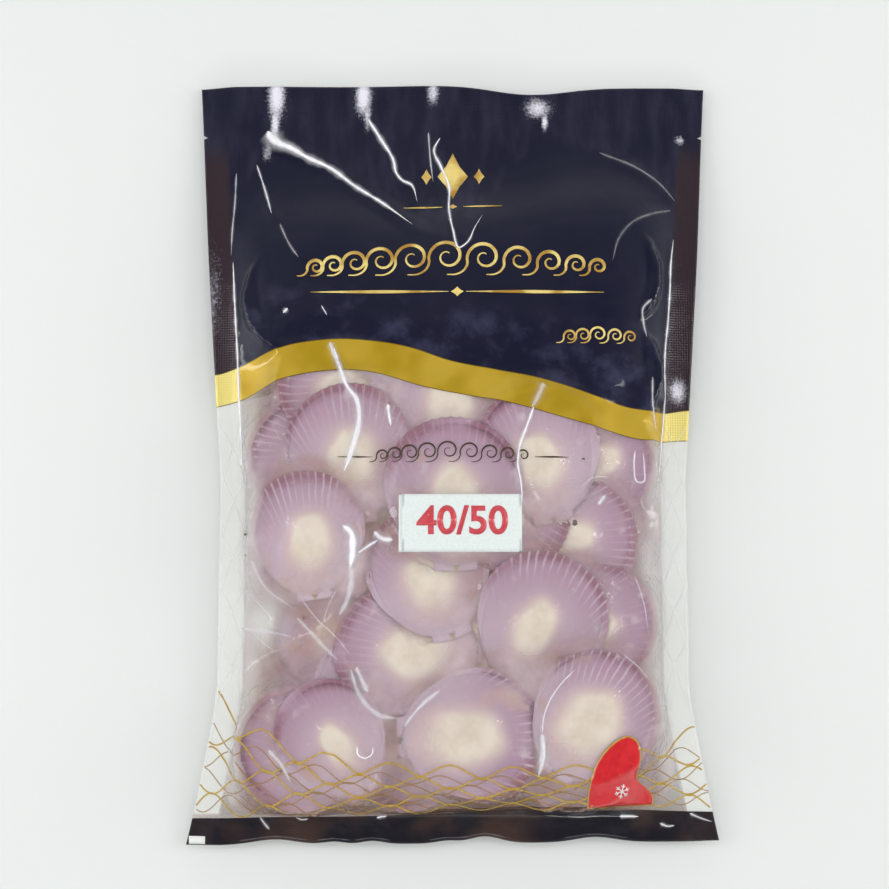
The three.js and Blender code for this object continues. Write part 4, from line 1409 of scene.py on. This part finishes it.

# %% [markdown]
# ## The sharp creases and painted glints
#
# Where the film is pinched into a sharp fold it turns partly white along the crest, because
# stretching opens tiny gaps in the plastic. The rest of the white is painted highlight: the
# glints that the lamps draw along the folds, over the shells and on the foot strip are painted
# here as white film. The bright veils beside the folds are painted highlights too, only fainter.
# Each crease is a narrow tent along a line that tapers to its end. Its crest is white and
# glossy, and its foot is clear, so it melts into the film. The folds of a real pack fall by
# chance and no rule gives them, so each one is a row here.

# %% The creases and painted glints
# Whiteness is partly stress whitening and partly painted highlight; many rows are painted glints and
# glare.
CREASES_AND_GLINTS = [  # places, width at the start and at the end, whiteness
    ([(-92, 161), (-90.6, 158.4), (-87, 155.2), (-80, 152), (-72, 147.2)], 5.0, 1.2, 0.9),
    ([(-90.9, 158.7), (-86.9, 155.2), (-80, 152), (-73.7, 148.2), (-60.6, 141.7), (-47.9, 131.7),
      (-34.8, 122.7), (-19.8, 110.4)], 2.6, 0.7, 1.0),
    ([(-42.3, 168), (-35, 156), (-29.6, 146.5), (-27.6, 138.5), (-24.7, 135), (-20.8, 133),
      (-17.4, 123.5)], 1.6, 0.7, 1.0),
    ([(-6.3, 157.5), (-9.2, 151.5), (-5.8, 142), (-1.9, 131.6), (-1.9, 119.2), (0, 106.9), (3.4, 97),
      (6.7, 99.5), (10.6, 107.8), (14.4, 114.8)], 1.1, 0.5, 0.9),
    ([(-12.1, 160.9), (-11.1, 146.8), (-9.7, 134.3)], 0.7, 0.5, 0.4),
    ([(-97, 143.4), (-92.9, 131.4), (-88.3, 116.4)], 0.6, 0.9, 0.6),
    ([(-83.9, 110.4), (-78.5, 99), (-74.1, 92.6)], 0.8, 0.8, 0.2),
    ([(-107.1, 93), (-105.8, 71.5), (-104.5, 51.8), (-103.1, 25), (-101.8, 5.6), (-101.5, -14.7)],
     0.8, 0.9, 0.9),
    ([(-107, 139), (-107.2, 121.6), (-108, 108.1), (-108.3, 96.6)], 0.7, 0.8, 0.3),
    ([(107.8, 104.6), (106.1, 92.6), (105.3, 78.7), (104.1, 63.9), (102.4, 49.2), (101.5, 22.4),
      (99.7, 5.4), (97.6, -9), (95.9, -22.4)], 0.7, 0.9, 0.8),
    ([(72.8, 150), (91.2, 141.4), (101.8, 133.4), (109.4, 124.4)], 1.1, 1.0, 0.12),
    ([(106.8, 119.3), (97.5, 116.3), (86.4, 110.4), (79.5, 101.5), (76.4, 90.7)], 1.2, 1.0, 0.09),
    ([(95.2, 72.5), (90.8, 67.6), (91.1, 60.3), (92.5, 53.9)], 1.0, 0.8, 0.35),
    ([(94.6, 34.2), (94.4, 19.7), (96.6, 9.1)], 0.7, 1.0, 0.35),
    ([(-56.6, 48.3), (-53.2, 37.4), (-49.8, 28.8), (-45.6, 23.1), (-44.1, 15.6), (-45, 7.1),
      (-47.7, -2.3), (-50.9, -11.7)], 1.2, 3.2, 0.75),
    ([(-58.4, 50.6), (-56.8, 46.1), (-54.6, 40.8), (-52.2, 36.5)], 2.6, 1.6, 0.4),
    ([(42.4, 30.2), (40.9, 26.5), (38.9, 22.4), (36.8, 18.8)], 3.6, 1.5, 0.3),
    ([(-30.6, 20.4), (-30.1, 15.7), (-29.1, 10)], 1.6, 1.1, 0.85),
    ([(37.8, 19.2), (34, 8.8), (31.1, 0.8), (30.1, -7.1), (31.5, -16.5), (31.9, -25.8)],
     1.3, 0.6, 0.9),
    ([(-51.5, -36.5), (-47.6, -39.6), (-46.6, -47.1), (-47.8, -56.4)], 3.0, 3.6, 0.95),
    ([(-47.6, -54), (-47.2, -62), (-48.6, -70), (-52.5, -78)], 3.4, 2.4, 0.3),
    ([(-44.3, -49.5), (-39.6, -46.1), (-34.9, -43.2)], 0.9, 1.6, 0.75),
    ([(-36.9, -39.5), (-33.2, -42.6), (-28, -43.2)], 2.2, 3.2, 0.75),
    ([(-44.1, -137.4), (-43.6, -141.4), (-40.4, -142.9), (-37.2, -141), (-36.8, -137.4)],
     0.8, 0.7, 0.85),
    ([(-44.9, -101.7), (-42.1, -107.6), (-39.3, -113.1)], 2.4, 2.8, 0.35),
    ([(-22.6, -128.7), (-18.9, -123.7), (-13.5, -117.9), (-6.1, -112)], 1.0, 2.4, 0.35),
    ([(40.4, -131.8), (41.4, -123.7), (43.7, -117.4), (46.1, -113.3), (52.5, -105.7),
      (56.2, -102.3)], 0.7, 0.6, 0.5),
    ([(40.5, -131.8), (40.9, -138.1), (40.2, -144.5), (38.6, -150.8)], 3.2, 2.4, 0.5),
    ([(41, -135), (41.3, -141), (40.6, -146)], 1.2, 1.0, 0.8),
    ([(85.7, -0.8), (85.1, -8.5), (86.9, -16.1), (88.8, -16.1), (89.9, -8.5), (89.5, -2.2)],
     0.8, 0.7, 0.55),
    ([(-62.7, 68.3), (-59.8, 63.5)], 0.5, 0.5, 0.5),
    ([(-80.7, 64.8), (-78.8, 67.2)], 0.9, 1.4, 0.8),
    ([(70.9, -22.2), (67.6, -26.9)], 1.5, 1.9, 0.5),
    ([(-99, -66), (-92, -72), (-84, -81), (-79, -92)], 0.4, 0.6, 0.16),
    ([(-101, -84), (-93, -88), (-83, -95)], 0.4, 0.5, 0.16),
    ([(-99, -106), (-92, -99), (-84, -95), (-78, -93)], 0.4, 0.5, 0.16),
    ([(-70, -71), (-63, -80), (-54, -88), (-47, -97)], 0.8, 0.5, 0.2),
    ([(-54, -66), (-58, -74), (-61, -84)], 0.4, 0.6, 0.16),
    ([(-47.3, -102.9), (-42.7, -114.6), (-33.8, -123.4), (-26.4, -124.9)], 2.0, 2.6, 0.3),
    ([(-72.9, -79.2), (-60.8, -91.1), (-53.3, -98.4)], 1.6, 2.4, 0.2),
    ([(-84.7, -139.4), (-79.5, -144.5), (-74.2, -153.9)], 2.6, 1.0, 0.3),
    ([(-94.2, -52.4), (-88, -64.3), (-74.4, -74.8)], 1.8, 1.0, 0.2),
    ([(-101.2, -84.4), (-87.7, -85.4), (-75, -88.1)], 2.6, 1.2, 0.16),
    ([(60, -18), (66, -14), (73, -14)], 0.4, 0.7, 0.25),
    ([(84, -60), (88, -72), (90, -86)], 0.5, 0.5, 0.25),
    ([(78, -96), (84, -101), (90, -108)], 0.5, 0.6, 0.25),
    ([(43, -170.8), (58, -172.2), (72, -171.6), (80, -171.8)], 0.4, 0.5, 0.3),
    ([(78, -171.7), (82, -171.6), (87, -171.8)], 1.1, 1.0, 0.9),
    ([(97, -175), (101, -176.4), (104, -176)], 0.9, 0.7, 0.6),
    ([(111, -170.4), (117, -173), (122, -174.6)], 0.9, 0.6, 0.5),
    ([(-36, -172.6), (-33.5, -171.8), (-31, -171.4)], 0.8, 1.1, 0.9),
    ([(-91, -172), (-89, -175), (-86.5, -178.2)], 0.6, 1.2, 0.4),
    ([(-74, -172.4), (-71, -173.4), (-68, -173)], 0.5, 0.7, 0.4),
    ([(-57, -170.8), (-51, -170.4), (-47, -170.2)], 0.4, 0.4, 0.4),
]
# Along each bay's edge a faint painted highlight stands for the light caught by the turned-up film.
for at, depth, half in FOOT_BAYS:  # the film is turned up along the edge of each bay
    bay_x = np.linspace(at - 1.2 * half, at + 1.2 * half, 9)
    CREASES_AND_GLINTS.append((list(zip(bay_x, FOOT + foot_wave(bay_x) + 1.4)), 0.4, 0.5, 0.06))
# The veil round a crest is a painted highlight.
HALO = 3.0  # the veil round a crest is this much wider than the crest
TENT_SLOPE = 0.25  # height of the crest for each millimetre of the line's half width


def crease(points, first, last, white):
    """A narrow tent along a line, that thins out at both ends, with a painted highlight veil on both
    sides.
    """
    line = smooth_line(points)
    step = np.arange(len(line))
    share = step / step[-1]
    wander = 1 + 0.16 * np.sin(0.45 * step + first) + 0.08 * np.sin(1.1 * step + last)
    taper = np.minimum(1, np.minimum(10 * share + 0.15, 5 * (1 - share) + 0.1))
    half = (first + (last - first) * share) / 2 * wander * taper
    bm, k, across = ribbon(line, HALO * half, 12)
    tent = np.clip(1 - HALO * np.abs(across), 0, 1)
    move_to(bm, *places(bm).T[:2], TENT_SLOPE * half[k] * tent)
    veil = (1 - np.abs(across)) ** 1.7
    write(bm, crest=(0.65 * smoothstep(0, 0.7, tent) + 0.35 * veil) * white)
    return bm


# The white of this material is partly stress whitening and partly painted highlight.
whitening_and_glint, tree = new_material("nylon_polyethylene_film_whitened_painted_glints")
place = add(tree, "TexCoord", out="Object")
gaps = add(tree, "TexNoise", {"Vector": place, "Scale": 1 / (5 * MM)})
broken = add(tree, "MapRange", {"Value": gaps, "From Min": 0.3, "From Max": 0.6,
                                "To Min": 0.7, "To Max": 1.0})
whiteness = add(tree, "Math", {0: share_of(tree, "crest", broken), 1: 1.15},
                operation="MULTIPLY", use_clamp=True)
pulled = add(tree, "BsdfPrincipled", {"Base Color": "#FBFAFF", "Roughness": 0.25})
whitened = add(tree, "MixShader", {0: whiteness, 1: add(tree, "BsdfTransparent"), 2: pulled})
add(tree, "OutputMaterial", {"Surface": whitened})
printed("film_creases_painted_glints", [crease(*row) for row in CREASES_AND_GLINTS], whitening_and_glint, INK_LIFT + 0.1)

# %% [markdown]
# ## The size sticker
#
# Two paper stickers, one over the other and not quite in line, give the size of the scallops
# as plain red numbers. Coated paper is nearly white and half matt, with faint fibres, and toner
# lies on it as a thin, slightly glossy film. The paper bends a little with the pack, and the
# left end of the upper one curls up. Near its corners a grey line of painted shadow shows where
# it has come loose. Each is a grid with the thickness of paper, and the numbers are Blender's
# own font made a mesh.

# %% The sticker
PAPER, GLUE = 0.22, 0.04
STICKER_LIFT = 0.58  # the upper one's face over the plane that the film is pressed flat to
CURL = 0.5


def sticker_height(x):
    """Height of the upper sticker's face, which is bent with the film under it."""
    return LABEL_Z + STICKER_LIFT - LABEL_BOW * ((x - LABEL_X) / (LABEL_WIDTH / 2)) ** 2


def paper(shift_x, shift_y, drop):
    """One sticker. Only the upper one, which isn't dropped, curls and comes loose."""
    bm, u, v = flat_grid(100, 20)
    x = LABEL_X + shift_x + u * (LABEL_WIDTH / 2 - 0.4)
    raised = CURL * smoothstep(0.82, 1.0, -u) * (0.6 + 0.4 * v)
    move_to(bm, x, LABEL_Y + shift_y + v * LABEL_HEIGHT / 2,
            sticker_height(x) - drop - 0.1 + raised * (drop == 0))
    loose = smoothstep(0.955, 0.965, np.abs(u)) * smoothstep(0.45, 0.7, np.abs(v))
    write(bm, shadow=loose * (drop == 0) * (np.abs(u) < 0.99))
    bmesh.ops.solidify(bm, geom=bm.faces[:], thickness=PAPER)
    return bm


coated_paper, tree = new_material("label_paper_coated")
place = add(tree, "TexCoord", out="Object")
fibres = add(tree, "TexNoise", {"Vector": place, "Scale": 1 / (1.2 * MM), "Detail": 3.0})
tooth = add(tree, "TexNoise", {"Vector": place, "Scale": 1 / (0.8 * MM)})
tint = painted(tree, "#DAE2E0", ("#E2E9E7", (fibres, 0.3, 0.7)), ("#7C7680", "shadow", 0.6))
bump = add(tree, "Bump", {"Height": tooth, "Strength": 0.1, "Distance": 0.0001})
coated = add(tree, "BsdfPrincipled", {"Base Color": tint, "Roughness": 0.5, "Normal": bump})
add(tree, "OutputMaterial", {"Surface": coated})
sticker = piece_of("size_sticker", joined([paper(0.4, 0, 0), paper(-0.9, -0.3, PAPER + GLUE)]),
                   coated_paper)

# %% Its numbers
NUMBERS, NUMBER_HEIGHT = "40/50", 13.6

text = bpy.data.curves.new("numbers", "FONT")
text.body, text.align_x, text.align_y = NUMBERS, "CENTER", "CENTER"
text.offset, text.extrude, text.resolution_u = 0.024, 0.004, 6
words = bpy.data.objects.new("numbers", text)
flat = bpy.data.meshes.new_from_object(words)
bm = bmesh.new()
bm.from_mesh(flat)
bpy.data.objects.remove(words)
corners = places(bm)
low, high = corners.min(0), corners.max(0)
scale = NUMBER_HEIGHT / (high[1] - low[1])
x = LABEL_X + (corners[:, 0] - (low[0] + high[0]) / 2) * scale * 1.02 + 0.6
y = LABEL_Y + (corners[:, 1] - (low[1] + high[1]) / 2) * scale + 1.2
move_to(bm, x, y, sticker_height(x) + 0.02 + 0.04 * (corners[:, 2] > 0))
bmesh.ops.remove_doubles(bm, verts=bm.verts, dist=0.001)
red_ink = ink_under_film("laser_toner_red", ("#C8404A", "#D04C55"), 0.5)
numbers = piece_of("sticker_numbers", bm, red_ink)
for piece in (sticker, numbers):
    put_on(piece, "label")

# %% [markdown]
# ## Dark specks
#
# A few crumbs of dark gut stay on the meat and between the shells. Each is a small ball of
# uneven shape, wet and nearly black, pressed flat just under the film.

# %% The specks
SPECKS = [(-25.3, -135.1, 2.0), (-25.3, -142.5, 1.5), (56.7, -35.3, 1.5), (-78.5, -148.4, 1.3),
          (49.2, -97.1, 1.2), (61.1, -5.1, 0.6), (-98, -40, 1.0), (-97.5, -50, 0.9),
          (-78.4, -72, 0.9), (-69.5, -79, 1.0)]
crumbs = []
for number, (x, y, size) in enumerate(SPECKS):
    bm = bmesh.new()
    bmesh.ops.create_icosphere(bm, subdivisions=3, radius=1)
    ball = places(bm)
    uneven = 1 + 0.25 * np.sin(3 * ball[:, 0] + number) + 0.2 * np.sin(4 * ball[:, 1] + 2 * number)
    top = film_top.ray_cast((x, y, DROP_FROM), (0, 0, -1))[0].z
    move_to(bm, x + size * uneven * ball[:, 0], y + 0.7 * size * uneven * ball[:, 1],
            top - 0.2 - 0.3 * size * (1.3 - uneven * ball[:, 2]))
    crumbs.append(bm)
dark_gut, tree = new_material("scallop_gut_dark")
place = add(tree, "TexCoord", out="Object")
crumbly = add(tree, "TexNoise", {"Vector": place, "Scale": 1 / (0.8 * MM)})
wet = add(tree, "BsdfPrincipled", {
    "Base Color": painted(tree, "#3A2C28", ("#5C4A40", (crumbly, 0.3, 0.7))), "Roughness": 0.4,
    "IOR": 1.4})
add(tree, "OutputMaterial", {"Surface": wet})
specks = piece_of("gut_specks", joined(crumbs), dark_gut)

# %% [markdown]
# ## Put the pieces on the frame
#
# The shells, the meats and the film are made objects last, because the film needed their shapes
# in millimetres. A sealed pack is one body, so all of it rides the root and takes the place of
# the plain solid that the CAD has for it.

# %% Pieces
for name, bm, finish, slot in [
        ("front_shells", front_shells, shell_calcite, "shell"),
        ("front_meats", front_meats, raw_meat, "meat"),
        ("middle_shells", middle_shells, shell_calcite, "shell"),
        ("middle_meats", middle_meats, raw_meat, "meat"),
        ("back_shells", back_shells, shell_calcite, "shell"),
        ("back_meats", back_meats, raw_meat, "meat")]:
    put_on(piece_of(name, bm, finish), "bag")
put_on(specks, "bag")
put_on(piece_of("pouch_film", film, clear_film, navy_print, gold_print, black_print_painted_sheen), "bag")
